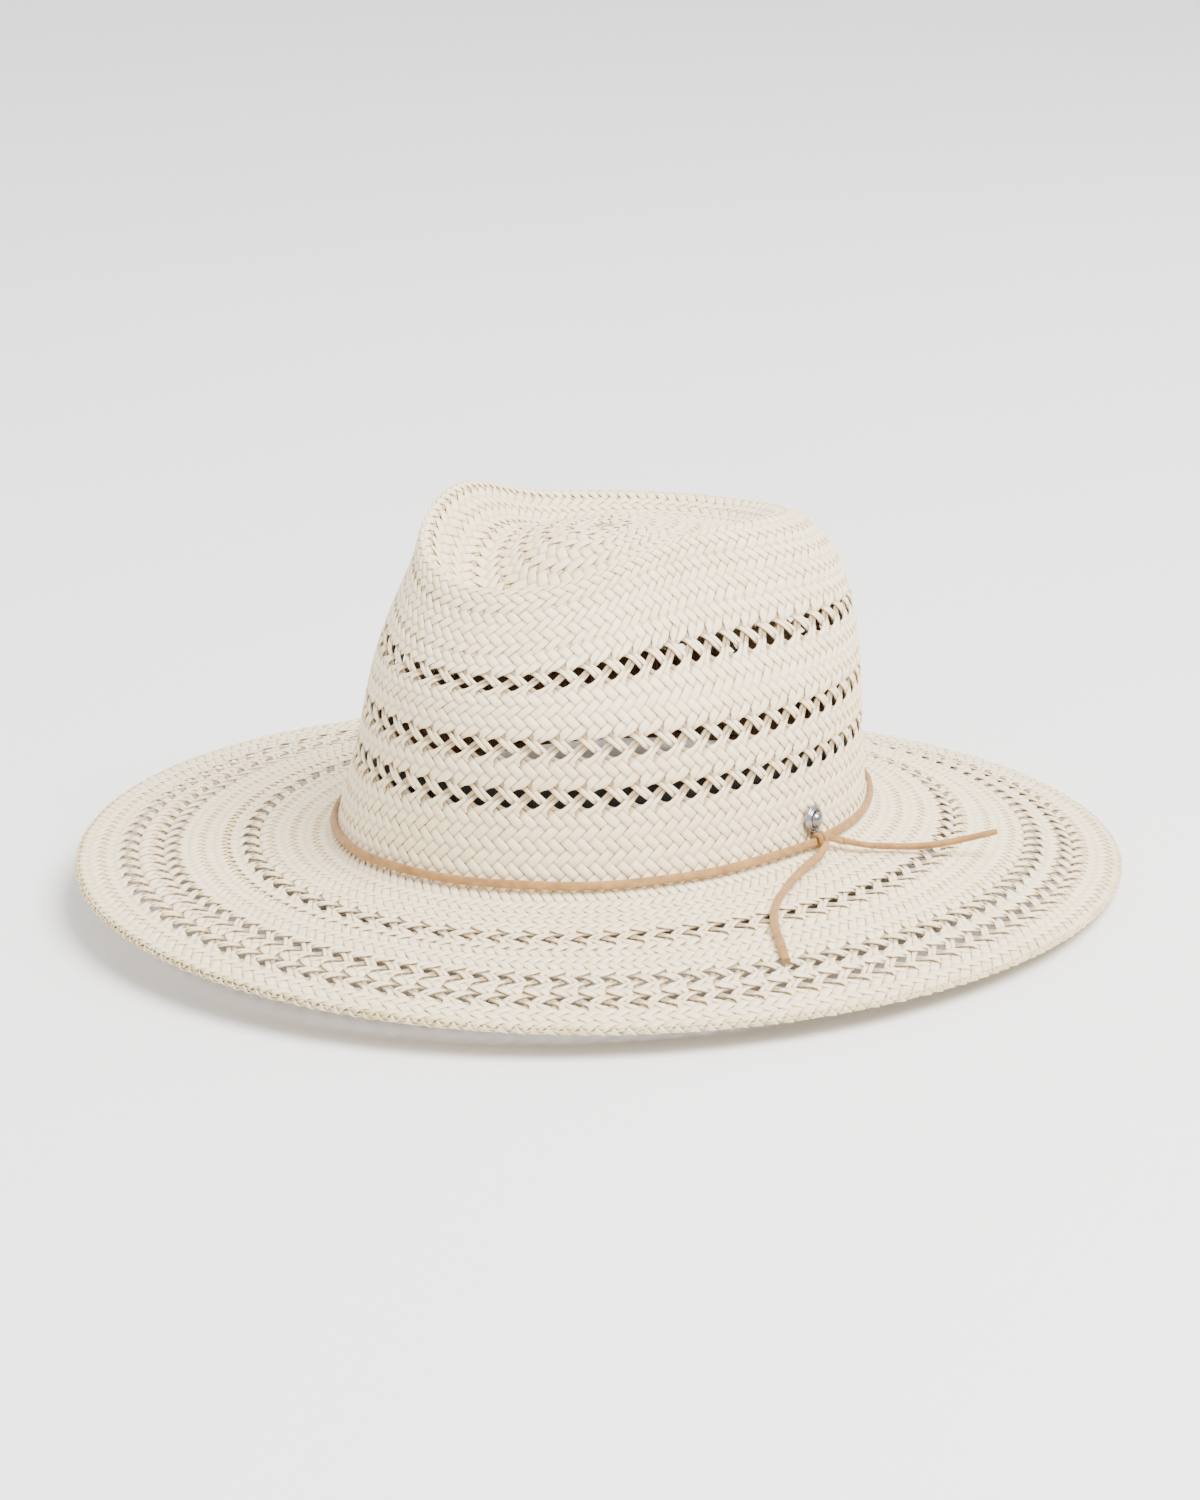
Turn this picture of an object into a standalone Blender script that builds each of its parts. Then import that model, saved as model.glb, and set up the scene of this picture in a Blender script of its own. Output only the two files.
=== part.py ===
"""Wide-brim panama hat: woven straw hood, sweatband, lace hatband and rivet stud.

Metres, +Z up. The front of the hat points along -Y and the wearer's left side is +X.
The origin is the middle of the hat's footprint, on the surface that it stands on.
Angles round the hat start at the front and grow towards the wearer's left.
"""
import math

import bmesh
import bpy
from mathutils import Matrix, Vector

# ---- driving sizes (metres) ----
HEAD_LENGTH = 0.206          # outside of the crown at its base, front to back
HEAD_WIDTH = 0.171           # outside of the crown at its base, side to side
BRIM_WIDTH = 0.095           # from the crown's base out to the brim's edge
CROWN_HEIGHT = 0.112         # break to the mean height of the dent's ridge
STRAW_THICKNESS = 0.0016     # two crossed layers of straw
HEM_WIDTH = 0.009            # straw ends turned back under the brim's edge
HEM_THICKNESS = 0.0012
LACE_WIDTH = 0.0030
LACE_THICKNESS = 0.0020
LACE_HEIGHT = 0.0046         # the lace's middle above the break
TAIL_DIAMETER = 0.0024
STUD_DIAMETER = 0.0105
STUD_RISE = 0.0040
STUD_ANGLE = 103.0           # degrees round from the front, wearer's left
RIVET_DIAMETER = 0.0028
RIVET_BACK_DIAMETER = 0.0080
RIVET_BACK_THICKNESS = 0.0008
SWEATBAND_HEIGHT = 0.036
SWEATBAND_THICKNESS = 0.0010
SWEATBAND_CLEARANCE = 0.0026  # between the crown's inside and the sweatband
JOIN_TAPE_WIDTH = 0.014
JOIN_TAPE_THICKNESS = 0.0006
LABEL_WIDTH = 0.024
LABEL_HEIGHT = 0.015
LABEL_THICKNESS = 0.0004
THREAD_DIAMETER = 0.0006
FIT_GAP = 0.0003             # between pieces that touch
KNOT_HALF_WIDTH = 0.0042
KNOT_HEIGHT = 0.0050
KNOT_DEPTH = 0.0050
SEAT = 0.0007                # the stud's back clears the curved wall by this
SOCKET_DEPTH = 0.0016        # how far the rivet's post enters the stud
SWEATBAND_FOOT = 0.0005      # the band's lower edge above the break
# the stud sits just above the knot, so its axis follows both sizes
STUD_HEIGHT = LACE_HEIGHT + KNOT_HEIGHT / 2 + 1.5 * FIT_GAP + STUD_DIAMETER / 2

# ---- the crown's shape, eight stations: front, front left, left, ... front right ----
RIDGE_RADIUS = (0.073, 0.057, 0.048, 0.060, 0.064, 0.053, 0.048, 0.057)
RIDGE_RISE = (-0.012, -0.007, 0.001, -0.002, -0.009, -0.008, -0.001, 0.005)
DENT_DEPTH = (0.022, 0.019, 0.012, 0.006, 0.003, 0.006, 0.013, 0.019)
SHOULDER_INSET = (0.022, 0.031, 0.031, 0.016, 0.017, 0.019, 0.031, 0.036)
PINCH_INSET = (0.012, 0.021, 0.022, 0.008, 0.009, 0.010, 0.022, 0.027)
BULGE_INSET = (0.005, 0.003, 0.003, 0.002, 0.003, 0.004, 0.006, 0.013)
SHOULDER_LEVEL = 0.945       # shares of the crown's height
PINCH_LEVEL = 0.79
BULGE_LEVEL = 0.56
LOWER_LEVEL = 0.30
ISLAND_LEVEL = 0.965
# ---- how far the brim's edge lies below the break, same eight stations ----
EDGE_DROP = (0.0070, 0.0115, 0.0140, 0.0180, 0.0205, 0.0165, 0.0090, 0.0055)

# ---- free lace ends: x, y and height above the brim, as laid round a head of these two sizes ----
LAID_WIDTH = 0.171
LAID_LENGTH = 0.206
TAIL_REAR = ((0.0885, 0.0300, 0.0038), (0.0945, 0.0380, 0.0028), (0.1000, 0.0470, 0.0026),
             (0.1050, 0.0560, 0.0034), (0.1100, 0.0660, 0.0060), (0.1160, 0.0790, 0.0105))
TAIL_FRONT = ((0.0930, 0.0140, 0.0036), (0.0968, 0.0020, 0.0026), (0.1025, -0.0110, 0.0020),
              (0.1105, -0.0255, 0.0018), (0.1205, -0.0370, 0.0018), (0.1310, -0.0450, 0.0018),
              (0.1415, -0.0530, 0.0018))

# ---- mesh fineness ----
STATIONS = 64
DENT_ROWS = 13
WALL_ROWS = 13
BRIM_ROWS = 8


def clear_scene():
    for item in list(bpy.data.objects):
        bpy.data.objects.remove(item, do_unlink=True)


def principled(name, colour, roughness, metallic=0.0):
    material = bpy.data.materials.new(name)
    material.use_nodes = True
    shader = material.node_tree.nodes["Principled BSDF"]
    shader.inputs["Base Color"].default_value = (*colour, 1.0)
    shader.inputs["Roughness"].default_value = roughness
    shader.inputs["Metallic"].default_value = metallic
    return material


def ring(values, angle):
    """Smooth closed curve through eight values spaced evenly round the hat."""
    count = len(values)
    total = 0.0
    for station, value in enumerate(values):
        offset = angle - 2.0 * math.pi * station / count
        weight = 1.0
        for wave in range(1, count // 2):
            weight += 2.0 * math.cos(wave * offset)
        weight += math.cos(count // 2 * offset)
        total += value * weight / count
    return total


def head_radius(angle):
    """Radius of the crown's base, an oval seen from above."""
    across = math.sin(angle) / (HEAD_WIDTH / 2)
    along = math.cos(angle) / (HEAD_LENGTH / 2)
    return 1.0 / math.hypot(across, along)


def section(angle):
    """Control points (radius, height above the break) from the crown's middle to the edge."""
    base = head_radius(angle)
    ridge = ring(RIDGE_RADIUS, angle)
    top = CROWN_HEIGHT + ring(RIDGE_RISE, angle)
    depth = ring(DENT_DEPTH, angle)
    shoulder = base - ring(SHOULDER_INSET, angle)
    pinch = base - ring(PINCH_INSET, angle)
    bulge = base - ring(BULGE_INSET, angle)
    drop = ring(EDGE_DROP, angle)
    island = CROWN_HEIGHT * ISLAND_LEVEL
    return [
        (0.0, island),
        (0.16 * ridge, island),
        (0.38 * ridge, island + 0.001),
        (0.72 * ridge, top - depth),
        (0.93 * ridge, top - 0.10 * depth),
        (ridge + 0.003, top + 0.005),
        (shoulder, top * SHOULDER_LEVEL),
        (pinch, top * PINCH_LEVEL),
        (bulge, CROWN_HEIGHT * BULGE_LEVEL),
        (0.6 * bulge + 0.4 * base, CROWN_HEIGHT * LOWER_LEVEL),
        (base, 0.013),
        (base + 0.0005, 0.0035),
        (base + 0.0060, -0.0010),
        (base + 0.20 * BRIM_WIDTH, -0.10 * drop),
        (base + 0.45 * BRIM_WIDTH, -0.38 * drop),
        (base + 0.72 * BRIM_WIDTH, -0.72 * drop),
        (base + 0.90 * BRIM_WIDTH, -0.93 * drop),
        (base + BRIM_WIDTH, -drop),
    ]


BREAK_SPAN = 10.0            # place along the section where crown and brim meet
LAST_SPAN = 15.0             # place of the brim's edge, number of points less three


def spline(points, place):
    """Point at a place on the clamped cubic B-spline of the control points."""
    count = len(points)
    spans = count - 3
    place = min(max(place, 0.0), float(spans))
    knots = [0.0] * 3 + [float(i) for i in range(spans + 1)] + [float(spans)] * 3
    span = min(int(place), spans - 1) + 3
    work = [points[span - 3 + i] for i in range(4)]
    for level in range(1, 4):
        for i in range(3, level - 1, -1):
            low = knots[span - 3 + i]
            high = knots[span + 1 + i - level]
            share = (place - low) / (high - low)
            work[i] = tuple(a * (1 - share) + b * share for a, b in zip(work[i - 1], work[i]))
    return work[3]


def outline(angle, place, inward=0.0):
    """(radius, height) on the hat's outer face, or that far inside it along the normal."""
    points = section(angle)
    radius, height = spline(points, place)
    step = 0.02
    before = spline(points, max(place - step, 0.0))
    after = spline(points, min(place + step, LAST_SPAN))
    run = after[0] - before[0]
    fall = after[1] - before[1]
    length = math.hypot(run, fall)
    # the outward normal lies to the left of the way from the middle to the edge
    return radius + inward * fall / length, height - inward * run / length


def station_angles(count=STATIONS):
    return [2.0 * math.pi * i / count for i in range(count)]


# the break stands this far above the surface that the hem's lowest station rests on
BREAK_HEIGHT = -min(outline(angle, LAST_SPAN, STRAW_THICKNESS + FIT_GAP + HEM_THICKNESS)[1]
                    for angle in station_angles())


def point(angle, radius, height):
    return Vector((radius * math.sin(angle), -radius * math.cos(angle), height + BREAK_HEIGHT))


def on_hat(angle, place, inward=0.0):
    radius, height = outline(angle, place, inward)
    return point(angle, radius, height)


def place_at_height(angle, height, first=5.0, last=BREAK_SPAN + 1.0):
    """Place on the outer wall at this height above the break."""
    for _ in range(40):
        middle = (first + last) / 2
        if outline(angle, middle)[1] > height:
            first = middle
        else:
            last = middle
    return (first + last) / 2


def place_at_radius(angle, radius):
    """Place on the brim at this radius."""
    first = BREAK_SPAN
    last = LAST_SPAN
    for _ in range(40):
        middle = (first + last) / 2
        if outline(angle, middle)[0] < radius:
            first = middle
        else:
            last = middle
    return (first + last) / 2


def finish(name, mesh_data, material, smooth=True):
    mesh = bpy.data.meshes.new(name)
    bmesh.ops.recalc_face_normals(mesh_data, faces=mesh_data.faces)
    mesh_data.to_mesh(mesh)
    mesh_data.free()
    if smooth:
        mesh.shade_smooth()
        mesh.set_sharp_from_angle(angle=math.radians(40))
    mesh.materials.append(material)
    piece = bpy.data.objects.new(name, mesh)
    bpy.context.collection.objects.link(piece)
    return piece


def closed_loft(name, loops, material, pole_top=None, pole_low=None):
    """Closed skin over rings of equal count; the last ring joins the first or a pole."""
    work = bmesh.new()
    rings = [[work.verts.new(co) for co in loop] for loop in loops]
    count = len(rings[0])
    pairs = list(zip(rings, rings[1:]))
    if pole_top is None:
        pairs.append((rings[-1], rings[0]))
    for one, two in pairs:
        for i in range(count):
            j = (i + 1) % count
            work.faces.new((one[i], one[j], two[j], two[i]))
    if pole_top is not None:
        for loop, pole in ((rings[0], pole_top), (rings[-1], pole_low)):
            tip = work.verts.new(pole)
            for i in range(count):
                work.faces.new((loop[i], loop[(i + 1) % count], tip))
    return finish(name, work, material)


def swept_strip(name, sections, material):
    """Closed solid through four-or-more-sided sections, with both ends capped."""
    work = bmesh.new()
    rings = [[work.verts.new(co) for co in loop] for loop in sections]
    count = len(rings[0])
    for one, two in zip(rings, rings[1:]):
        for i in range(count):
            j = (i + 1) % count
            work.faces.new((one[i], one[j], two[j], two[i]))
    work.faces.new(rings[0])
    work.faces.new(rings[-1])
    return finish(name, work, material)


def rows(first, last, count):
    return [first + (last - first) * i / count for i in range(count + 1)]


def make_crown(straw):
    """The dented crown as one woven shell, open below, with the rivet's hole in its wall."""
    places = rows(0.5, 5.0, DENT_ROWS) + rows(5.0, BREAK_SPAN, WALL_ROWS)[1:]
    angles = station_angles()
    outer = [[on_hat(a, p) for a in angles] for p in places]
    inner = [[on_hat(a, p, STRAW_THICKNESS) for a in angles] for p in reversed(places)]
    top = point(0.0, 0.0, outline(0.0, 0.0)[1])
    low = top - Vector((0.0, 0.0, STRAW_THICKNESS))
    crown = closed_loft("crown", outer + inner, straw, top, low)
    cutter = make_disc_on_axis("rivet_hole", RIVET_DIAMETER / 2 + FIT_GAP, -0.010, 0.010, straw, 24)
    cutter.hide_render = True
    cutter.display_type = "WIRE"
    cut = crown.modifiers.new("rivet_hole", "BOOLEAN")
    cut.operation = "DIFFERENCE"
    cut.solver = "EXACT"
    cut.object = cutter
    return crown


def make_brim(straw):
    """The brim as one woven shell, from just outside the break to its edge."""
    places = rows(BREAK_SPAN + 0.10, LAST_SPAN, BRIM_ROWS)
    angles = station_angles()
    outer = [[on_hat(a, p) for a in angles] for p in places]
    inner = [[on_hat(a, p, STRAW_THICKNESS) for a in angles] for p in reversed(places)]
    return closed_loft("brim", outer + inner, straw)


def make_hem(straw):
    """The straw ends turned back under the brim's edge."""
    top = STRAW_THICKNESS + FIT_GAP
    low = top + HEM_THICKNESS
    loops = [[], [], [], [], [], []]
    for angle in station_angles():
        edge = head_radius(angle) + BRIM_WIDTH
        inside = place_at_radius(angle, edge - HEM_WIDTH)
        middle = place_at_radius(angle, edge - HEM_WIDTH / 2)
        for loop, spot, depth in zip(loops, (inside, middle, LAST_SPAN, LAST_SPAN, middle, inside),
                                     (top, top, top, low, low, low)):
            loop.append(on_hat(angle, spot, depth))
    return closed_loft("brim_hem", loops, straw)


def lace_middle(angle):
    """Middle of the lace and its section's two directions, on the crown's base."""
    spot = place_at_height(angle, LACE_HEIGHT)
    face = on_hat(angle, spot)
    out = (on_hat(angle, spot, -0.001) - face).normalized()
    middle = face + out * (LACE_THICKNESS / 2 + FIT_GAP)
    up = (on_hat(angle, spot - 0.02) - face).normalized()
    return middle, out, up


def make_lace(leather):
    """The lace laid round the crown's base, its two ends entering the knot."""
    away = (KNOT_HALF_WIDTH + FIT_GAP) / head_radius(math.radians(STUD_ANGLE))
    first = math.radians(STUD_ANGLE) + away
    last = math.radians(STUD_ANGLE) + 2.0 * math.pi - away
    sides = 8
    sections = []
    for angle in rows(first, last, STATIONS):
        middle, out, up = lace_middle(angle)
        loop = []
        for i in range(sides):
            turn = 2.0 * math.pi * i / sides
            loop.append(middle + out * (LACE_THICKNESS / 2 * math.cos(turn))
                        + up * (LACE_WIDTH / 2 * math.sin(turn)))
        sections.append(loop)
    return swept_strip("lace_band", sections, leather)


def make_knot(leather):
    """The overhand knot that closes the lace, below the stud."""
    angle = math.radians(STUD_ANGLE)
    middle, out, up = lace_middle(angle)
    along = up.cross(out).normalized()
    centre = middle + out * ((KNOT_DEPTH - LACE_THICKNESS) / 2)
    work = bmesh.new()
    bmesh.ops.create_uvsphere(work, u_segments=16, v_segments=10, radius=1.0)
    turn = Matrix((along, up, out)).transposed().to_4x4()
    size = Matrix.Diagonal((KNOT_HALF_WIDTH, KNOT_HEIGHT / 2, KNOT_DEPTH / 2, 1.0))
    bmesh.ops.transform(work, matrix=Matrix.Translation(centre) @ turn @ size, verts=work.verts)
    return finish("lace_knot", work, leather)


def smooth_route(points, spacing):
    """Evenly spaced points on a smooth curve through the route's points."""
    dense = []
    for i in range(len(points) - 1):
        p0 = points[max(i - 1, 0)]
        p1 = points[i]
        p2 = points[i + 1]
        p3 = points[min(i + 2, len(points) - 1)]
        for k in range(20):
            t = k / 20
            dense.append(0.5 * (2 * p1 + (p2 - p0) * t + (2 * p0 - 5 * p1 + 4 * p2 - p3) * t ** 2
                                + (3 * p1 - p0 - 3 * p2 + p3) * t ** 3))
    dense.append(points[-1])
    lengths = [0.0]
    for one, two in zip(dense, dense[1:]):
        lengths.append(lengths[-1] + (two - one).length)
    count = max(round(lengths[-1] / spacing), 2)
    route = []
    k = 0
    for i in range(count + 1):
        wanted = lengths[-1] * i / count
        while k < len(lengths) - 2 and lengths[k + 1] < wanted:
            k += 1
        share = (wanted - lengths[k]) / (lengths[k + 1] - lengths[k])
        route.append(dense[k].lerp(dense[k + 1], share))
    return route


def tail_route(points):
    """The tail's points, as far out from the crown's base as they were laid, whatever the head."""
    route = []
    for x, y, lift in points:
        angle = math.atan2(x, -y)
        laid_radius = 1.0 / math.hypot(math.sin(angle) / (LAID_WIDTH / 2),
                                       math.cos(angle) / (LAID_LENGTH / 2))
        reach = math.hypot(x, y) - laid_radius
        spot = place_at_radius(angle, head_radius(angle) + reach)
        route.append(on_hat(angle, spot, -lift))
    return smooth_route(route, 2.5 * TAIL_DIAMETER)


def make_tail(name, points, leather):
    """One free end of the lace, a plain tube along its route."""
    route = tail_route(points)
    curve = bpy.data.curves.new(name, "CURVE")
    curve.dimensions = "3D"
    curve.bevel_depth = TAIL_DIAMETER / 2
    curve.bevel_resolution = 2
    curve.resolution_u = 1
    curve.render_resolution_u = 0
    curve.use_fill_caps = True
    line = curve.splines.new("POLY")
    line.points.add(len(route) - 1)
    for spot, co in zip(line.points, route):
        spot.co = (*co, 1.0)
    curve.materials.append(leather)
    piece = bpy.data.objects.new(name, curve)
    bpy.context.collection.objects.link(piece)
    return piece


def stud_axis():
    """Where the rivet's axis meets the crown's outer face, and its outward direction."""
    angle = math.radians(STUD_ANGLE)
    spot = place_at_height(angle, STUD_HEIGHT)
    face = on_hat(angle, spot)
    out = (on_hat(angle, spot, -0.001) - face).normalized()
    return face, out


def turned(name, profile, material, sides):
    """Solid turned round the stud's axis; profile is (distance out, radius) from tip to tip."""
    face, out = stud_axis()
    side = out.cross(Vector((0.0, 0.0, 1.0))).normalized()
    up = side.cross(out).normalized()
    loops = []
    for reach, radius in profile[1:-1]:
        loop = []
        for i in range(sides):
            turn = 2.0 * math.pi * i / sides
            loop.append(face + out * reach + side * (radius * math.cos(turn))
                        + up * (radius * math.sin(turn)))
        loops.append(loop)
    return closed_loft(name, loops, material, face + out * profile[0][0], face + out * profile[-1][0])


def make_disc_on_axis(name, radius, low, high, material, sides):
    return turned(name, ((high, 0.0), (high, radius), (low, radius), (low, 0.0)), material, sides)


def make_stud(silver):
    """Domed cap with a stepped rim and a socket behind for the rivet's post."""
    r = STUD_DIAMETER / 2
    socket = RIVET_DIAMETER / 2 + FIT_GAP
    profile = [(SEAT + STUD_RISE, 0.0)]
    dome = 0.62 * r
    for i in range(1, 5):
        turn = math.pi / 2 * i / 4
        profile.append((SEAT + 0.42 * STUD_RISE + 0.58 * STUD_RISE * math.cos(turn), dome * math.sin(turn)))
    profile += [(SEAT + 0.34 * STUD_RISE, 0.70 * r), (SEAT + 0.40 * STUD_RISE, 0.80 * r),
                (SEAT + 0.30 * STUD_RISE, 0.93 * r), (SEAT + 0.12 * STUD_RISE, r), (SEAT, 0.96 * r),
                (SEAT, socket), (SEAT + SOCKET_DEPTH, socket), (SEAT + SOCKET_DEPTH, 0.0)]
    return turned("stud_cap", profile, silver, 24)


def make_rivet(silver):
    """Post through the crown's wall into the cap's socket, with a flat back plate inside."""
    back = -STRAW_THICKNESS - SEAT
    post = RIVET_DIAMETER / 2
    plate = RIVET_BACK_DIAMETER / 2
    profile = [(SEAT + SOCKET_DEPTH - FIT_GAP, 0.0), (SEAT + SOCKET_DEPTH - FIT_GAP, post), (back, post),
               (back, plate), (back - RIVET_BACK_THICKNESS, plate), (back - RIVET_BACK_THICKNESS, 0.0)]
    return turned("stud_rivet", profile, silver, 24)


def sweatband_face(angle, height, inward):
    """Point inside the crown; the band's face leans with the wall between its two edges."""
    foot = outline(angle, place_at_height(angle, 0.006), STRAW_THICKNESS + SWEATBAND_CLEARANCE)
    head = outline(angle, place_at_height(angle, SWEATBAND_HEIGHT), STRAW_THICKNESS + SWEATBAND_CLEARANCE)
    share = height / SWEATBAND_HEIGHT
    radius = foot[0] + (head[0] - foot[0]) * share - inward
    return point(angle, radius, SWEATBAND_FOOT + height)


def band_patch(name, angle, width, low, high, first, last, material):
    """Thin patch lying on the sweatband's inner face, as wide as width round the hat."""
    half = width / 2 / head_radius(angle)
    sections = []
    for spot in rows(angle - half, angle + half, 6):
        sections.append([sweatband_face(spot, low, first), sweatband_face(spot, high, first),
                         sweatband_face(spot, high, last), sweatband_face(spot, low, last)])
    return swept_strip(name, sections, material)


def make_sweatband(ribbon):
    """Ribbed ribbon band inside the crown's base, with a flat lower edge."""
    angles = station_angles()
    loops = []
    for height, inward in ((0.0, 0.0), (SWEATBAND_HEIGHT, 0.0), (SWEATBAND_HEIGHT, SWEATBAND_THICKNESS),
                           (0.0, SWEATBAND_THICKNESS)):
        loops.append([sweatband_face(a, height, inward) for a in angles])
    return closed_loft("sweatband", loops, ribbon)


def make_join_tape(ribbon):
    """Short tape over the sweatband's ends, at the back."""
    first = SWEATBAND_THICKNESS + FIT_GAP
    last = first + JOIN_TAPE_THICKNESS
    return band_patch("sweatband_join", math.pi, JOIN_TAPE_WIDTH, 0.006, SWEATBAND_HEIGHT - 0.001,
                      first, last, ribbon)


def make_label(cloth):
    """Blank woven size label beside the join."""
    first = SWEATBAND_THICKNESS + FIT_GAP
    last = first + LABEL_THICKNESS
    away = (JOIN_TAPE_WIDTH + LABEL_WIDTH + 0.008) / 2 / head_radius(math.pi)
    low = SWEATBAND_HEIGHT - LABEL_HEIGHT - 0.006
    return band_patch("size_label", math.pi + away, LABEL_WIDTH, low, low + LABEL_HEIGHT,
                      first, last, cloth)


def make_thread(cotton):
    """The thread that sews the sweatband's lower edge, one line on its inner face."""
    inward = SWEATBAND_THICKNESS + FIT_GAP + THREAD_DIAMETER / 2
    loops = []
    sides = 6
    for i in range(sides):
        turn = 2.0 * math.pi * i / sides
        rise = 0.0028 + THREAD_DIAMETER / 2 * math.sin(turn)
        reach = inward + THREAD_DIAMETER / 2 * math.cos(turn)
        loops.append([sweatband_face(a, rise, reach) for a in station_angles()])
    return closed_loft("sweatband_thread", loops, cotton)


def build():
    clear_scene()
    straw = principled("ivory_straw", (0.80, 0.74, 0.64), 0.6)
    turned_straw = principled("turned_straw", (0.74, 0.66, 0.48), 0.65)
    leather = principled("tan_lace", (0.60, 0.36, 0.20), 0.55)
    silver = principled("silver", (0.75, 0.75, 0.76), 0.2, 1.0)
    ribbon = principled("brown_ribbon", (0.24, 0.13, 0.06), 0.75)
    cotton = principled("black_thread", (0.03, 0.03, 0.03), 0.6)
    cloth = principled("label_cloth", (0.70, 0.68, 0.62), 0.8)
    make_crown(straw)
    make_brim(straw)
    make_hem(turned_straw)
    make_lace(leather)
    make_knot(leather)
    make_tail("lace_tail_rear", TAIL_REAR, leather)
    make_tail("lace_tail_front", TAIL_FRONT, leather)
    make_stud(silver)
    make_rivet(silver)
    make_sweatband(ribbon)
    make_join_tape(ribbon)
    make_label(cloth)
    make_thread(cotton)


build()
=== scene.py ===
"""Looks of the wide-brim panama hat: woven straw, leather lace, stud and ribbon sweatband."""
import math

import bmesh
import bpy
import numpy as np
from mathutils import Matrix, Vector


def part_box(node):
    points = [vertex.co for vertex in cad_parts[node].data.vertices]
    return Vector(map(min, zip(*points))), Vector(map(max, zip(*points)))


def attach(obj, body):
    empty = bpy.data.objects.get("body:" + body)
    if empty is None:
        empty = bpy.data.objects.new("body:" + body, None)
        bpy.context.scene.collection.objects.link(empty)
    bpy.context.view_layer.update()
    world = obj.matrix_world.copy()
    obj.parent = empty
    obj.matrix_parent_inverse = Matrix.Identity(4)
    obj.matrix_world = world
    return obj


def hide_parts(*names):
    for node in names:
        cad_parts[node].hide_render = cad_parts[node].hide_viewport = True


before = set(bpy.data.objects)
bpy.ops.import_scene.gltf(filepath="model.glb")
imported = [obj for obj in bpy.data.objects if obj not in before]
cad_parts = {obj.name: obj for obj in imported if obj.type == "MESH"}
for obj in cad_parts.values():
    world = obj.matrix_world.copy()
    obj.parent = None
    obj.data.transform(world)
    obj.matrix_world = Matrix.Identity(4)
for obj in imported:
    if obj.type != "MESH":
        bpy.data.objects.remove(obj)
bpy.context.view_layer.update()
BODY = "root"

# ---- the hat's own sizes, as the frame has them (metres) ----
BRIM_LOW, BRIM_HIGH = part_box("brim")
HEAD_LENGTH = 0.206
HEAD_WIDTH = 0.171
BRIM_WIDTH = (BRIM_HIGH[0] - BRIM_LOW[0] - HEAD_WIDTH) / 2
CROWN_HEIGHT = 0.112
STRAW_THICKNESS = 0.0016
LACE_WIDTH = 0.0030
LACE_THICKNESS = 0.0020
LACE_HEIGHT = 0.0046
STUD_DIAMETER = 0.0105
STUD_RISE = 0.0040
STUD_ANGLE = 103.0
FIT_GAP = 0.0003
KNOT_HEIGHT = 0.0050
KNOT_DEPTH = 0.0050
SEAT = 0.0007
STUD_HEIGHT = LACE_HEIGHT + KNOT_HEIGHT / 2 + 1.5 * FIT_GAP + STUD_DIAMETER / 2
SWEATBAND_HEIGHT = 0.036
SWEATBAND_THICKNESS = 0.0010
SWEATBAND_CLEARANCE = 0.0026
SWEATBAND_FOOT = 0.0005
JOIN_TAPE_WIDTH = 0.014
JOIN_TAPE_THICKNESS = 0.0006
LABEL_WIDTH = 0.024
LABEL_HEIGHT = 0.015
LABEL_THICKNESS = 0.0004
THREAD_DIAMETER = 0.0006

# free lace ends: x, y and height above the brim, as laid round a head of these two sizes
LAID_WIDTH = 0.171
LAID_LENGTH = 0.206
TAIL_REAR = ((0.0885, 0.0300, 0.0038), (0.0945, 0.0380, 0.0028), (0.1000, 0.0470, 0.0026),
             (0.1050, 0.0560, 0.0034), (0.1100, 0.0660, 0.0060), (0.1160, 0.0790, 0.0105))
TAIL_FRONT = ((0.0930, 0.0140, 0.0036), (0.0968, 0.0020, 0.0026), (0.1025, -0.0110, 0.0020),
              (0.1105, -0.0255, 0.0018), (0.1205, -0.0370, 0.0018), (0.1310, -0.0450, 0.0018),
              (0.1415, -0.0530, 0.0018))

# eight stations: front, front left, left, back left, back, back right, right, front right
RIDGE_RADIUS = (0.073, 0.057, 0.048, 0.060, 0.064, 0.053, 0.048, 0.057)
RIDGE_RISE = (-0.012, -0.007, 0.001, -0.002, -0.009, -0.008, -0.001, 0.005)
DENT_DEPTH = (0.022, 0.019, 0.012, 0.006, 0.003, 0.006, 0.013, 0.019)
SHOULDER_INSET = (0.022, 0.031, 0.031, 0.016, 0.017, 0.019, 0.031, 0.036)
PINCH_INSET = (0.012, 0.021, 0.022, 0.008, 0.009, 0.010, 0.022, 0.027)
BULGE_INSET = (0.005, 0.003, 0.003, 0.002, 0.003, 0.004, 0.006, 0.013)
EDGE_DROP = (0.0070, 0.0115, 0.0140, 0.0180, 0.0205, 0.0165, 0.0090, 0.0055)
SHOULDER_LEVEL = 0.945
PINCH_LEVEL = 0.79
BULGE_LEVEL = 0.56
LOWER_LEVEL = 0.30
ISLAND_LEVEL = 0.965
BREAK_SPAN = 10.0
LAST_SPAN = 15.0

# ---- the weave ----
STRAND_SIDES = 6
ROW_HEIGHT = 0.00215         # way between crossings, half of a float's height
STRAND_THICKNESS = 0.00062
STRAND_LIFT = 0.00040
STRAND_FILL = 0.99           # a strand's width as a share of the room it has
TUCK = 0.0005
OPENWORK_SHIFT = 0.25
OPENWORK_NARROWING = 0.50
TURN_THICKNESS = 0.0018
WALL_STRANDS = 124
BRIM_STRANDS = (168, 226)    # inside and outside the seam in the brim
BAND_HEIGHTS = (0.0355, 0.0520, 0.0768)     # crown openwork above the break
BAND_REACHES = (0.031, 0.062, 0.076)        # brim openwork out from the crown's base
ROWS_SET_AT = math.radians(46.0)            # side of the hat where the openwork heights are true
SEAM_HEIGHT = 0.003          # above the break, where the crown's zones end and the brim's begin
MIDDLE_HOLE = 0.0035         # way from the crown's middle to the first strands
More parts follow.
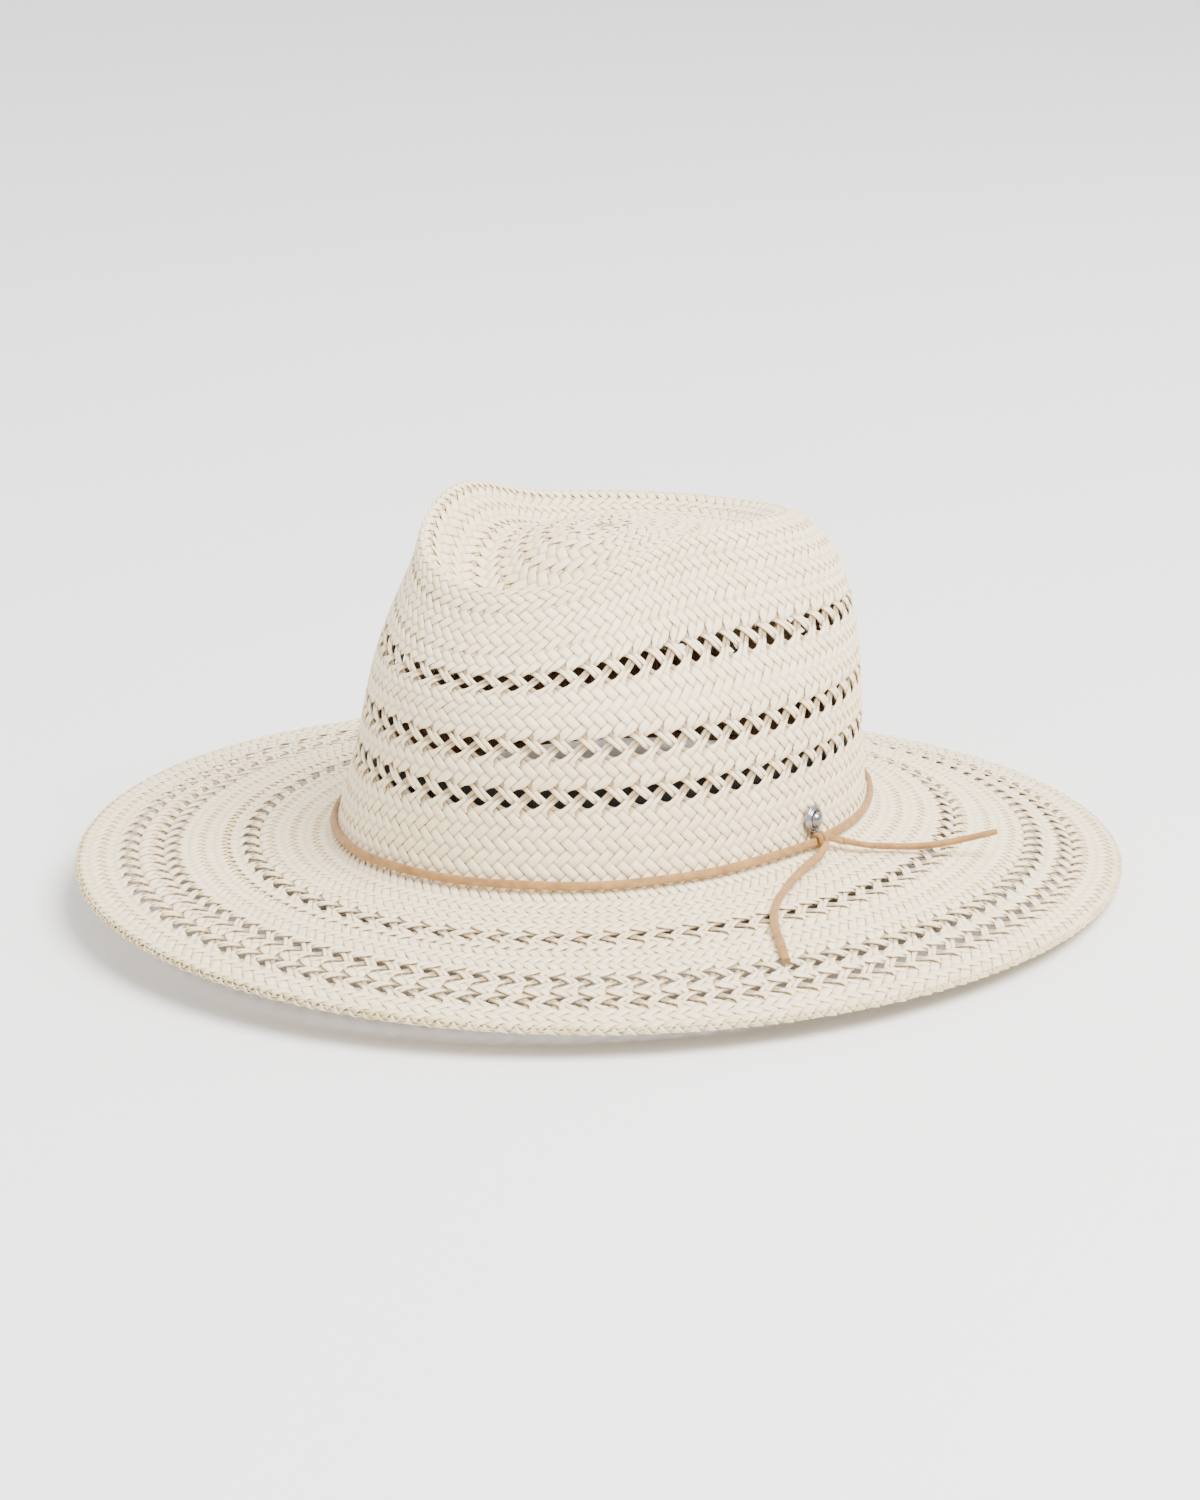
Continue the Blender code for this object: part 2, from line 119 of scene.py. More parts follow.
TIP_STRAND_SPACING = 0.0043
ABOVE_TOP_BAND = 0.0115      # from the upper openwork to the end of the wall's zone
PAST_FIRST_BAND = 0.0105     # from the brim's first openwork to the next zone
TIP_ROWS = (2, 2, 4, 4, 4, 4, 8, 8, 8, 8, 8, 8, 8)
TURN_ROWS = 4                # rows turned back under the brim's edge
NO_OPENWORK = -50.0          # a row that no zone has
BIG_PIECE = 90000            # triangles; a piece above this stays by itself
FULL_PIECE = 180000
RIB_SPACING = 0.00105
STUD_SIDES = 72
MIDDLE_RADIUS = 0.0052       # the woven disc at the crown's middle
MIDDLE_SIDES = 40
MIDDLE_RINGS = 8


# ---------------------------------------------------------------- the hat's surface

def ring(values, angle):
    """Smooth closed curve through eight values spaced evenly round the hat."""
    count = len(values)
    angle = np.asarray(angle, float)
    total = np.zeros_like(angle)
    for station, value in enumerate(values):
        offset = angle - 2.0 * math.pi * station / count
        weight = np.ones_like(angle)
        for wave in range(1, count // 2):
            weight = weight + 2.0 * np.cos(wave * offset)
        weight = weight + np.cos(count // 2 * offset)
        total = total + value * weight / count
    return total


def head_radius(angle):
    """Radius of the crown's base, an oval seen from above."""
    return 1.0 / np.hypot(np.sin(angle) / (HEAD_WIDTH / 2), np.cos(angle) / (HEAD_LENGTH / 2))


def section(angle):
    """Control points of the section at each angle: an array of point, (radius, height), angle."""
    angle = np.asarray(angle, float)
    base = head_radius(angle)
    ridge = ring(RIDGE_RADIUS, angle)
    top = CROWN_HEIGHT + ring(RIDGE_RISE, angle)
    depth = ring(DENT_DEPTH, angle)
    shoulder = base - ring(SHOULDER_INSET, angle)
    pinch = base - ring(PINCH_INSET, angle)
    bulge = base - ring(BULGE_INSET, angle)
    drop = ring(EDGE_DROP, angle)
    island = CROWN_HEIGHT * ISLAND_LEVEL
    flat = np.zeros_like(angle)
    points = [
        (flat, flat + island),
        (0.16 * ridge, flat + island),
        (0.38 * ridge, flat + island + 0.001),
        (0.72 * ridge, top - depth),
        (0.93 * ridge, top - 0.10 * depth),
        (ridge + 0.003, top + 0.005),
        (shoulder, top * SHOULDER_LEVEL),
        (pinch, top * PINCH_LEVEL),
        (bulge, flat + CROWN_HEIGHT * BULGE_LEVEL),
        (0.6 * bulge + 0.4 * base, flat + CROWN_HEIGHT * LOWER_LEVEL),
        (base, flat + 0.013),
        (base + 0.0005, flat + 0.0035),
        (base + 0.0060, flat - 0.0010),
        (base + 0.20 * BRIM_WIDTH, -0.10 * drop),
        (base + 0.45 * BRIM_WIDTH, -0.38 * drop),
        (base + 0.72 * BRIM_WIDTH, -0.72 * drop),
        (base + 0.90 * BRIM_WIDTH, -0.93 * drop),
        (base + BRIM_WIDTH, -drop),
    ]
    return np.array([[r, z] for r, z in points])


def spline(points, place):
    """Point at a place on the clamped cubic B-spline of the control points."""
    spans = len(points) - 3
    place = min(max(place, 0.0), float(spans))
    knots = [0.0] * 3 + [float(i) for i in range(spans + 1)] + [float(spans)] * 3
    span = min(int(place), spans - 1) + 3
    work = [points[span - 3 + i] for i in range(4)]
    for level in range(1, 4):
        for i in range(3, level - 1, -1):
            low = knots[span - 3 + i]
            high = knots[span + 1 + i - level]
            share = (place - low) / (high - low)
            work[i] = work[i - 1] * (1 - share) + work[i] * share
    return work[3]


def outline(angle, place, inward=0.0):
    """(radius, height) on the hat's outer face, or that far inside it along the normal."""
    points = section(angle)
    spot = spline(points, place)
    before = spline(points, max(place - 0.02, 0.0))
    after = spline(points, min(place + 0.02, LAST_SPAN))
    run = after - before
    length = np.hypot(run[0], run[1])
    return np.array([spot[0] + inward * run[1] / length, spot[1] - inward * run[0] / length])


# the sweatband's lower edge stands SWEATBAND_FOOT above the break
BREAK_HEIGHT = float(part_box("sweatband")[0][2]) - SWEATBAND_FOOT


def point(angle, radius, height):
    return Vector((radius * math.sin(angle), -radius * math.cos(angle), height + BREAK_HEIGHT))


def on_hat(angle, place, inward=0.0):
    radius, height = outline(angle, place, inward)
    return point(angle, float(radius), float(height))


def place_at_height(angle, height, first=5.0, last=BREAK_SPAN + 1.0):
    """Place on the outer wall at this height above the break."""
    for _ in range(30):
        middle = (first + last) / 2
        if outline(angle, middle)[1] > height:
            first = middle
        else:
            last = middle
    return (first + last) / 2


def place_at_radius(angle, radius):
    """Place on the brim at this radius."""
    first = BREAK_SPAN
    last = LAST_SPAN
    for _ in range(30):
        middle = (first + last) / 2
        if outline(angle, middle)[0] < radius:
            first = middle
        else:
            last = middle
    return (first + last) / 2


# ---------------------------------------------------------------- the guide surface

AROUND = 288
PER_SPAN = 22


def even_angles(count):
    """Angles that are evenly spaced along the head oval, not in angle."""
    fine = np.linspace(0.0, 2.0 * math.pi, 4001)
    radius = head_radius(fine)
    x = radius * np.sin(fine)
    y = -radius * np.cos(fine)
    length = np.concatenate([[0.0], np.cumsum(np.hypot(np.diff(x), np.diff(y)))])
    return np.interp(np.linspace(0.0, length[-1], count + 1), length, fine)


class Guide:
    """The hat's surface as a fine mesh, unrolled so that V is the way from the crown's middle."""

    def __init__(self):
        angles = even_angles(AROUND)
        places = np.linspace(0.0, LAST_SPAN, int(LAST_SPAN * PER_SPAN) + 1)
        places[0] = 0.004
        points = section(angles)
        rows = np.array([spline(points, p) for p in places])
        radius = rows[:, 0, :]
        height = rows[:, 1, :]
        self.grid = np.stack([radius * np.sin(angles), -radius * np.cos(angles),
                              height + BREAK_HEIGHT], axis=2)
        self.places = places
        steps = np.linalg.norm(np.diff(self.grid, axis=0), axis=2).mean(axis=1)
        self.way = np.concatenate([[0.0], np.cumsum(steps)])
        self.girth = np.linalg.norm(np.diff(self.grid, axis=1), axis=2).sum(axis=1)
        self.mesh = self.build()

    def way_at(self, place):
        return float(np.interp(place, self.places, self.way))

    def girth_at(self, way):
        return float(np.interp(way, self.way, self.girth))

    def build(self):
        """A quad grid with a spare strip past the brim's edge, so that strands can turn there."""
        grid = self.grid
        way = self.way
        for _ in range(2):
            spare = grid[-1] + (grid[-1] - grid[-2]) * 3.0
            way = np.append(way, way[-1] + (way[-1] - way[-2]) * 3.0)
            grid = np.concatenate([grid, spare[None]], axis=0)
        down, across = grid.shape[:2]
        mesh = bpy.data.meshes.new("hat_guide")
        index = np.arange(down * across).reshape(down, across)
        quads = np.stack([index[:-1, :-1], index[:-1, 1:], index[1:, 1:], index[1:, :-1]], axis=2)
        mesh.from_pydata(grid.reshape(-1, 3).tolist(), [], quads[:, :, ::-1].reshape(-1, 4).tolist())
        layer = mesh.uv_layers.new(name="unrolled")
        u = np.tile(np.linspace(0.0, 1.0, across), down)
        v = np.repeat(way / way[-1], across)
        corners = np.empty(len(mesh.loops), dtype=np.int64)
        mesh.loops.foreach_get("vertex_index", corners)
        layer.data.foreach_set("uv", np.stack([u[corners], v[corners]], axis=1).ravel())
        mesh.shade_smooth()
        self.last = float(way[-1])
        return mesh


# ---------------------------------------------------------------- node tree helper

class Nodes:
    """Short way to write a node tree: values and sockets go in, a socket comes out."""

    def __init__(self, tree):
        self.tree = tree

    def add(self, kind, inputs=(), **settings):
        node = self.tree.nodes.new(kind)
        for key, value in settings.items():
            setattr(node, key, value)
        for key, value in dict(inputs).items():
            self.feed(node.inputs[key], value)
        return node

    def feed(self, socket, value):
        if isinstance(value, bpy.types.NodeSocket):
            self.tree.links.new(value, socket)
        elif value is not None:
            socket.default_value = value

    def math(self, operation, *values):
        node = self.add("ShaderNodeMath", operation=operation)
        for socket, value in zip(node.inputs, values):
            self.feed(socket, value)
        return node.outputs[0]

    def sum(self, *values):
        total = values[0]
        for value in values[1:]:
            total = self.math("ADD", total, value)
        return total

    def times(self, *values):
        total = values[0]
        for value in values[1:]:
            total = self.math("MULTIPLY", total, value)
        return total

    def minus(self, one, two):
        return self.math("SUBTRACT", one, two)

    def clamp(self, value, low=0.0, high=1.0):
        return self.math("MINIMUM", self.math("MAXIMUM", value, low), high)

    def vector(self, x=0.0, y=0.0, z=0.0):
        node = self.add("ShaderNodeCombineXYZ")
        for socket, value in zip(node.inputs, (x, y, z)):
            self.feed(socket, value)
        return node.outputs[0]

    def vmath(self, operation, one, two=None, scale=None):
        node = self.add("ShaderNodeVectorMath", operation=operation)
        self.feed(node.inputs[0], one)
        if two is not None:
            self.feed(node.inputs[1], two)
        if scale is not None:
            self.feed(node.inputs["Scale"], scale)
        return node.outputs[0]

    def noise(self, where, scale, detail=1.0):
        return self.add("ShaderNodeTexNoise", {"Vector": where, "Scale": scale,
                                               "Detail": detail}).outputs[0]

    def split(self, vector):
        return self.add("ShaderNodeSeparateXYZ", {0: vector}).outputs

    def object_place(self):
        return self.add("ShaderNodeTexCoord").outputs["Object"]

    def store(self, geometry, name, value, kind="FLOAT"):
        node = self.add("GeometryNodeStoreNamedAttribute",
                        {"Geometry": geometry, "Name": name, "Value": value}, data_type=kind)
        return node.outputs[0]

    def read(self, name, kind="FLOAT"):
        return self.add("GeometryNodeInputNamedAttribute", {"Name": name}, data_type=kind).outputs[0]


def new_tree(name, sockets):
    """An empty geometry tree with these named inputs and one geometry output."""
    tree = bpy.data.node_groups.new(name, "GeometryNodeTree")
    tree.interface.new_socket("Geometry", in_out="INPUT", socket_type="NodeSocketGeometry")
    tree.interface.new_socket("Geometry", in_out="OUTPUT", socket_type="NodeSocketGeometry")
    for label, kind in sockets:
        tree.interface.new_socket(label, in_out="INPUT", socket_type="NodeSocket" + kind)
    nodes = Nodes(tree)
    source = tree.nodes.new("NodeGroupInput")
    target = tree.nodes.new("NodeGroupOutput")
    return tree, nodes, source, target


def run_tree(tree, name, base_mesh, values):
    """Runs the tree on a copy of the base mesh and returns the result as a plain piece."""
    holder = bpy.data.objects.new(name + "_maker", base_mesh)
    bpy.context.collection.objects.link(holder)
    modifier = holder.modifiers.new("maker", "NODES")
    modifier.node_group = tree
    for item in tree.interface.items_tree:
        if item.in_out == "INPUT" and item.name in values:
            modifier[item.identifier] = values[item.name]
    graph = bpy.context.evaluated_depsgraph_get()
    mesh = bpy.data.meshes.new_from_object(holder.evaluated_get(graph))
    holder.modifiers.remove(modifier)
    bpy.data.objects.remove(holder, do_unlink=True)
    mesh.name = name
    piece = bpy.data.objects.new(name, mesh)
    bpy.context.collection.objects.link(piece)
    return piece


# ---------------------------------------------------------------- the weave

def weave_tree(material):
    """Flat strands laid on the bias over the guide, two over and two under."""
    tree, n, source, target = new_tree("straw_weave", (
        ("Strands", "Int"), ("Rows", "Int"), ("Start", "Float"), ("Row Height", "Float"),
        ("Guide Length", "Float"), ("Girth First", "Float"), ("Girth Last", "Float"),
        ("Hand", "Float"), ("Phase", "Float"), ("Fill", "Float"), ("Thickness", "Float"),
        ("Lift", "Float"), ("Middle Depth", "Float"), ("Tuck First", "Float"), ("Tuck Last", "Float"),
        ("Openwork Row A", "Float"), ("Openwork Row B", "Float"), ("Openwork Row C", "Float"),
        ("Openwork Shift", "Float"), ("Openwork Narrowing", "Float"),
        ("Edge", "Float"), ("Turn Thickness", "Float"), ("Turn Rows", "Float"), ("Seed", "Int")))
    inp = source.outputs
    rows = n.sum(inp["Rows"], 0.5, inp["Turn Rows"])
    segments = n.math("MULTIPLY", rows, 2.0)
    tube = n.add("GeometryNodeMeshCylinder", {"Vertices": STRAND_SIDES, "Side Segments": segments,
                                              "Radius": 1.0, "Depth": 1.0}, fill_type="NGON")
    dots = n.add("GeometryNodePoints", {"Count": inp["Strands"]})
    number = n.add("GeometryNodeInputIndex").outputs[0]
    copies = n.add("GeometryNodeInstanceOnPoints", {"Points": n.store(dots.outputs[0], "strand", number),
                                                    "Instance": tube.outputs["Mesh"]})
    real = n.add("GeometryNodeRealizeInstances", {"Geometry": copies.outputs[0]})
    strand = n.read("strand")
    side, rise, along = n.split(n.add("GeometryNodeInputPosition").outputs[0])
    creased = real
    for test, smooth in (("GREATER_THAN", True), ("LESS_THAN", False)):
        creased = n.add("GeometryNodeSetShadeSmooth",
                        {"Geometry": creased.outputs[0], "Shade Smooth": smooth,
                         "Selection": n.math(test, n.math("ABSOLUTE", rise), 0.6)})
    side = n.clamp(n.times(side, 1.66), -1.0, 1.0)
    rise = n.clamp(n.times(rise, 1.16), -1.0, 1.0)

    # row number along the strand, counted from a quarter row before the first crossing
    cut = n.noise(n.vector(n.times(strand, 9.13), n.times(inp["Seed"], 3.1), 0.0), 1.0)
    ragged = n.times(n.minus(cut, 0.5), n.clamp(inp["Turn Rows"]), 3.0)
    row = n.minus(n.times(n.sum(along, 0.5), n.minus(rows, ragged)), 0.75)
    share = n.clamp(n.math("DIVIDE", row, inp["Rows"]))
    girth = n.sum(inp["Girth First"], n.times(share, n.minus(inp["Girth Last"], inp["Girth First"])))
    spacing = n.math("DIVIDE", girth, inp["Strands"])

    # openwork: neighbours close up in pairs and leave a hole between pairs
    band = 0.0
    for label in ("Openwork Row A", "Openwork Row B", "Openwork Row C"):
        away = n.math("ABSOLUTE", n.minus(row, inp[label]))
        band = n.sum(band, n.clamp(n.times(n.minus(2.3, away), 1.5)))
    uneven = n.noise(n.vector(n.times(strand, 0.9), n.times(row, 0.3), inp["Seed"]), 1.0)
    band = n.times(band, n.sum(0.62, n.times(uneven, 0.76)))
    odd = n.math("MODULO", strand, 2.0)
    sign = n.minus(n.times(odd, 2.0), 1.0)
    pair = n.times(band, inp["Openwork Shift"], sign)

    # hand-made unevenness
    seed = n.times(inp["Seed"], 17.3)
    drift, wide, lean = (
        n.minus(n.noise(n.vector(n.times(strand, apart), n.times(row, pace), n.sum(seed, aside)), 1.0), 0.5)
        for apart, pace, aside in ((3.71, 0.21, 0.0), (5.13, 0.45, 40.0), (4.37, 0.5, 80.0)))

    across = n.times(spacing, 0.5, inp["Hand"])
    slant = n.math("SQRT", n.sum(n.times(across, across), n.times(inp["Row Height"], inp["Row Height"])))
    room = n.math("DIVIDE", n.times(spacing, inp["Row Height"]), slant)
    width = n.times(inp["Fill"], room, n.minus(1.0, n.times(band, inp["Openwork Narrowing"])),
                    n.sum(1.0, n.times(wide, 0.22)))
    lateral = n.times(side, width, 0.5)
    shift_u = n.math("DIVIDE", n.times(lateral, inp["Row Height"]), slant)
    shift_v = n.times(n.math("DIVIDE", n.times(lateral, across), slant), -1.0)

    turns = n.math("DIVIDE", n.sum(strand, pair, n.times(drift, 0.16), n.times(row, 0.5, inp["Hand"])),
                   inp["Strands"])
    u = n.math("FRACT", n.sum(turns, n.math("DIVIDE", shift_u, girth), 10.0))
    v_flat = n.sum(inp["Start"], n.times(n.sum(row, 0.5), inp["Row Height"]), shift_v)

    # over two and under two
    wave = n.math("COSINE", n.times(n.sum(n.minus(row, 0.5), inp["Phase"]), math.pi / 2))
    lift = n.times(n.clamp(n.times(wave, 1.45), -1.0, 1.0), inp["Hand"], inp["Lift"])
    crown = n.times(wave, inp["Hand"], inp["Lift"], 0.25)
    tuck_first = n.times(n.clamp(n.minus(0.35, row)), inp["Tuck First"])
    last_gap = n.minus(row, n.minus(n.sum(inp["Rows"], inp["Turn Rows"]), 1.35))
    tuck_last = n.times(n.clamp(last_gap), inp["Tuck Last"])
    body = n.times(rise, inp["Thickness"], 0.5)
    tilt = n.times(side, lean, 0.00022)
    height = n.minus(n.sum(lift, crown, body, tilt), n.sum(tuck_first, tuck_last))

    # strands turn back under the brim's edge
    half = n.times(inp["Turn Thickness"], 0.5)
    past = n.minus(v_flat, inp["Edge"])
    angle = n.clamp(n.math("DIVIDE", past, half), 0.0, math.pi)
    extra = n.math("MAXIMUM", n.minus(past, n.times(half, math.pi)), 0.0)
    reach = n.times(n.sum(half, height), n.math("SINE", angle))
    v_turned = n.minus(n.sum(n.math("MINIMUM", v_flat, inp["Edge"]), reach), extra)
    depth = n.minus(n.times(n.sum(half, height), n.math("COSINE", angle)), half)
    v = n.math("DIVIDE", v_turned, inp["Guide Length"])

    spot = n.vector(u, v, 0.0)
    guide = source.outputs["Geometry"]
    layer = n.read("unrolled", "FLOAT_VECTOR")
    place, out = (
        n.add("GeometryNodeSampleUVSurface",
              {"Mesh": guide, "UV Map": layer, "Sample UV": spot}, data_type="FLOAT_VECTOR")
        for _ in range(2))
    n.feed(place.inputs["Value"], n.add("GeometryNodeInputPosition").outputs[0])
    n.feed(out.inputs["Value"], n.add("GeometryNodeInputNormal").outputs[0])
    normal = n.vmath("NORMALIZE", out.outputs["Value"])
    offset = n.vmath("SCALE", normal, scale=n.minus(depth, inp["Middle Depth"]))
    final = n.vmath("ADD", place.outputs["Value"], offset)

    strand_uv = n.vector(n.times(side, 0.5), n.sum(n.times(row, 1.4), n.times(strand, 7.9)), 0.0)
    edge_share = n.clamp(n.math("DIVIDE", n.minus(v_flat, n.minus(inp["Edge"], 0.0035)), 0.003))
    kept = n.store(creased.outputs[0], "strand_way", strand_uv, "FLOAT_VECTOR")
    kept = n.store(kept, "lifted", n.times(wave, inp["Hand"]))
    kept = n.store(kept, "turned", edge_share)
    moved = n.add("GeometryNodeSetPosition", {"Geometry": kept, "Position": final})
    whole = n.add("GeometryNodeRealizeInstances", {"Geometry": moved.outputs[0]})
    painted = n.add("GeometryNodeSetMaterial", {"Geometry": whole.outputs[0], "Material": material})
    tree.links.new(painted.outputs[0], target.inputs[0])
    return tree


def weave_piece(tree, guide, name, hand, zone, seed):
    """One hand of one zone of the weave."""
    values = {
        "Strands": zone["strands"], "Rows": zone["rows"], "Start": zone["start"],
        "Row Height": zone["row_height"], "Guide Length": guide.last,
        "Girth First": guide.girth_at(zone["start"]),
        "Girth Last": guide.girth_at(zone["start"] + zone["rows"] * zone["row_height"]),
        "Hand": float(hand), "Phase": float(zone["phase"]),
        "Fill": STRAND_FILL, "Thickness": STRAND_THICKNESS, "Lift": STRAND_LIFT,
        "Middle Depth": STRAW_THICKNESS / 2, "Tuck First": TUCK, "Tuck Last": TUCK,
        "Openwork Shift": OPENWORK_SHIFT, "Openwork Narrowing": OPENWORK_NARROWING,
        "Edge": guide.way_at(LAST_SPAN) - TURN_THICKNESS / 2, "Turn Thickness": TURN_THICKNESS,
        "Turn Rows": float(zone["turn_rows"]), "Seed": seed,
    }
    rows = zone["openwork"] + [NO_OPENWORK] * 3
    for label, row in zip("ABC", rows):
        values["Openwork Row " + label] = float(row)
    return run_tree(tree, name, guide.mesh, values)


def even_odd(value):
    """Nearest odd whole number, where the openwork's holes meet on both hands."""
    return 2 * round((value - 1) / 2) + 1


def zone_between(guide, first, last, strands, bands=(), turn_rows=0, step=4):
    """A zone of whole blocks of rows between two ways, with openwork near the given ways."""
    rows = max(step * round((last - first) / ROW_HEIGHT / step), step)
    height = (last - first) / rows
    return {
        "strands": strands, "rows": rows, "start": first, "row_height": height,
        "openwork": [even_odd((b - first) / height - 0.5) for b in bands],
        "turn_rows": turn_rows,
    }


def even_count(girth, spacing):
    return max(2 * round(girth / spacing / 2), 6)


def hat_zones(guide):
    """Zones from the crown's middle to the brim's edge, each with its own count of strands."""
    crown_bands = [guide.way_at(place_at_height(ROWS_SET_AT, h)) for h in BAND_HEIGHTS]
    base = float(head_radius(ROWS_SET_AT))
    brim_bands = [guide.way_at(place_at_radius(ROWS_SET_AT, base + r)) for r in BAND_REACHES]
    joint = guide.way_at(place_at_height(ROWS_SET_AT, SEAM_HEIGHT))
    seam = brim_bands[0] + PAST_FIRST_BAND
    wall_top = crown_bands[2] - ABOVE_TOP_BAND
    ways = [MIDDLE_HOLE]
    for rows in TIP_ROWS:
        if ways[-1] + 0.6 * rows * ROW_HEIGHT < wall_top:
            ways.append(ways[-1] + rows * ROW_HEIGHT)
    scale = (wall_top - ways[0]) / (ways[-1] - ways[0])
    ways = [ways[0] + (w - ways[0]) * scale for w in ways]
    crown = []
    for first, last in zip(ways, ways[1:]):
        count = even_count(guide.girth_at((first + last) / 2), TIP_STRAND_SPACING)
        crown.append(zone_between(guide, first, last, count, step=2))
    crown.append(zone_between(guide, wall_top, joint, WALL_STRANDS, crown_bands))
    brim = [zone_between(guide, joint, seam, BRIM_STRANDS[0], brim_bands[:1]),
            zone_between(guide, seam, guide.way_at(LAST_SPAN), BRIM_STRANDS[1], brim_bands[1:],
                         turn_rows=TURN_ROWS)]
    return [("crown", zone) for zone in crown] + [("brim", zone) for zone in brim]


def join_pieces(name, pieces):
    """Joins plain meshes at the origin into one piece."""
    with bpy.context.temp_override(active_object=pieces[0], selected_editable_objects=pieces):
        bpy.ops.object.join()
    pieces[0].name = name
    pieces[0].data.name = name
    return pieces[0]


def grouped(pieces):
    """Joins small pieces in order up to the size limit; a big piece stays by itself."""
    done, small, count = [], [], 0
    for piece in pieces:
        faces = sum(len(p.vertices) - 2 for p in piece.data.polygons)
        if faces > BIG_PIECE:
            done.append(piece)
            continue
        if count + faces > FULL_PIECE:
            done.append(join_pieces(small[0].name, small))
            small, count = [], 0
        small.append(piece)
        count += faces
    if small:
        done.append(join_pieces(small[0].name, small))
    return done


def make_weave(guide, straw):
    """The whole woven hood: crown pieces and brim pieces, each under the size limit."""
    tree = weave_tree(straw)
    phase = 0
    regions = {"crown": [], "brim": []}
    for number, (region, zone) in enumerate(hat_zones(guide)):
        zone["phase"] = phase
        phase = (phase + zone["rows"]) % 4
        for hand, word in ((1, "rising"), (-1, "falling")):
            regions[region].append(weave_piece(tree, guide, f"{region}_straw_{number:02d}_{word}",
                                               hand, zone, number * 2 + (hand > 0)))
    for region, nodes in (("crown", ("crown",)), ("brim", ("brim", "brim_hem"))):
        for piece in grouped(regions[region]):
            fit(piece, "ivory_straw", *nodes)


# ---------------------------------------------------------------- materials

def new_material(name):
    material = bpy.data.materials.new(name)
    material.use_nodes = True
    nodes = Nodes(material.node_tree)
    shader = material.node_tree.nodes["Principled BSDF"]
    return material, nodes, shader


def mix_colour(nodes, share, one, two, mode="MIX"):
    node = nodes.add("ShaderNodeMix", data_type="RGBA", blend_type=mode)
    nodes.feed(node.inputs[0], share)
    for socket, value in ((node.inputs[6], one), (node.inputs[7], two)):
        if isinstance(value, tuple):
            value = (*value, 1.0) if len(value) == 3 else value
        nodes.feed(socket, value)
    return node.outputs[2]


def bump(nodes, shader, height, strength, distance):
    node = nodes.add("ShaderNodeBump", {"Strength": strength, "Distance": distance, "Height": height})
    nodes.feed(shader.inputs["Normal"], node.outputs[0])


def straw_material():
    """Ivory straw: fine length-wise fibres, slightly uneven colour from strand to strand, and painted shade
    where a strand dips under its neighbour and along its edges.
    """
    material, n, shader = new_material("ivory_straw")
    across, along, _ = n.split(n.add("ShaderNodeAttribute", attribute_name="strand_way").outputs["Vector"])
    fibre = n.noise(n.vector(n.times(across, 22.0), n.times(along, 0.8), 0.0), 1.0, detail=3.0)
    patch = n.noise(n.vector(n.times(across, 0.4), n.times(along, 0.16), 5.0), 1.0, detail=2.0)
    base = mix_colour(n, n.clamp(n.times(n.minus(patch, 0.32), 2.8)), (0.90, 0.74, 0.475),
                      (0.985, 0.86, 0.61))
    tone = mix_colour(n, n.clamp(n.times(n.minus(fibre, 0.30), 1.6)), (0.82, 0.77, 0.68), (1.0, 1.0, 1.0))
    colour = mix_colour(n, 0.35, base, tone, "MULTIPLY")
    # painted shade: strands turn dark brown where they dip under the crossing strand and along their side
    # edges
    lifted = n.add("ShaderNodeAttribute", attribute_name="lifted").outputs["Fac"]
    under = n.clamp(n.times(n.minus(0.45, lifted), 1.5))
    rim = n.clamp(n.times(n.minus(n.math("ABSOLUTE", across), 0.42), 12.0))
    colour = mix_colour(n, n.clamp(n.sum(n.times(under, 0.75), n.times(rim, 0.55))), colour,
                        (0.30, 0.205, 0.10))
    turned = n.add("ShaderNodeAttribute", attribute_name="turned").outputs["Fac"]
    ends = n.clamp(n.times(turned, n.clamp(n.times(n.minus(patch, 0.46), 7.0))))
    colour = mix_colour(n, n.times(ends, 0.70), colour, (0.60, 0.49, 0.20))
    n.feed(shader.inputs["Base Color"], colour)
    n.feed(shader.inputs["Roughness"], n.sum(0.46, n.times(fibre, 0.22)))
    shader.inputs["Specular IOR Level"].default_value = 0.42
    shader.inputs["Sheen Weight"].default_value = 0.08
    shader.inputs["Subsurface Weight"].default_value = 0.10
    shader.inputs["Subsurface Radius"].default_value = (1.0, 0.62, 0.30)
    shader.inputs["Subsurface Scale"].default_value = 0.0016
    bump(n, shader, fibre, 0.35, 0.00012)
    return material


# ---------------------------------------------------------------- lace, stud and sweatband

def unit(vectors):
    return vectors / np.linalg.norm(vectors, axis=-1, keepdims=True)


def carried_frames(spots, wide):
    """Two directions across a path at each spot, carried along it without turning."""
    run = unit(np.gradient(spots, axis=0))
    wides = []
    wide = np.array(wide, float)
    for direction in run:
        wide = wide - direction * float(np.dot(wide, direction))
        wide = wide / np.linalg.norm(wide)
        wides.append(wide)
    wides = np.array(wides)
    return wides, np.cross(run, wides)


def loft(name, skin, along, across, cap, material, closed=False):
    """Skin through rows of points, mapped along and across; open ends get caps with the map value cap."""
    count, sides = skin.shape[:2]
    faces, corners = [], []
    for i in range(count if closed else count - 1):
        k = (i + 1) % count
        for j in range(sides):
            m = (j + 1) % sides
            faces.append((i * sides + j, i * sides + m, k * sides + m, k * sides + j))
            corners += [(along[i], across[j]), (along[i], across[j + 1]),
                        (along[i + 1], across[j + 1]), (along[i + 1], across[j])]
    if not closed:
        faces += [tuple(range(sides - 1, -1, -1)), tuple((count - 1) * sides + j for j in range(sides))]
        corners += [(along[0], cap)] * sides + [(along[count - 1], cap)] * sides
    return plain_piece(name, skin.reshape(-1, 3), faces, corners, material)


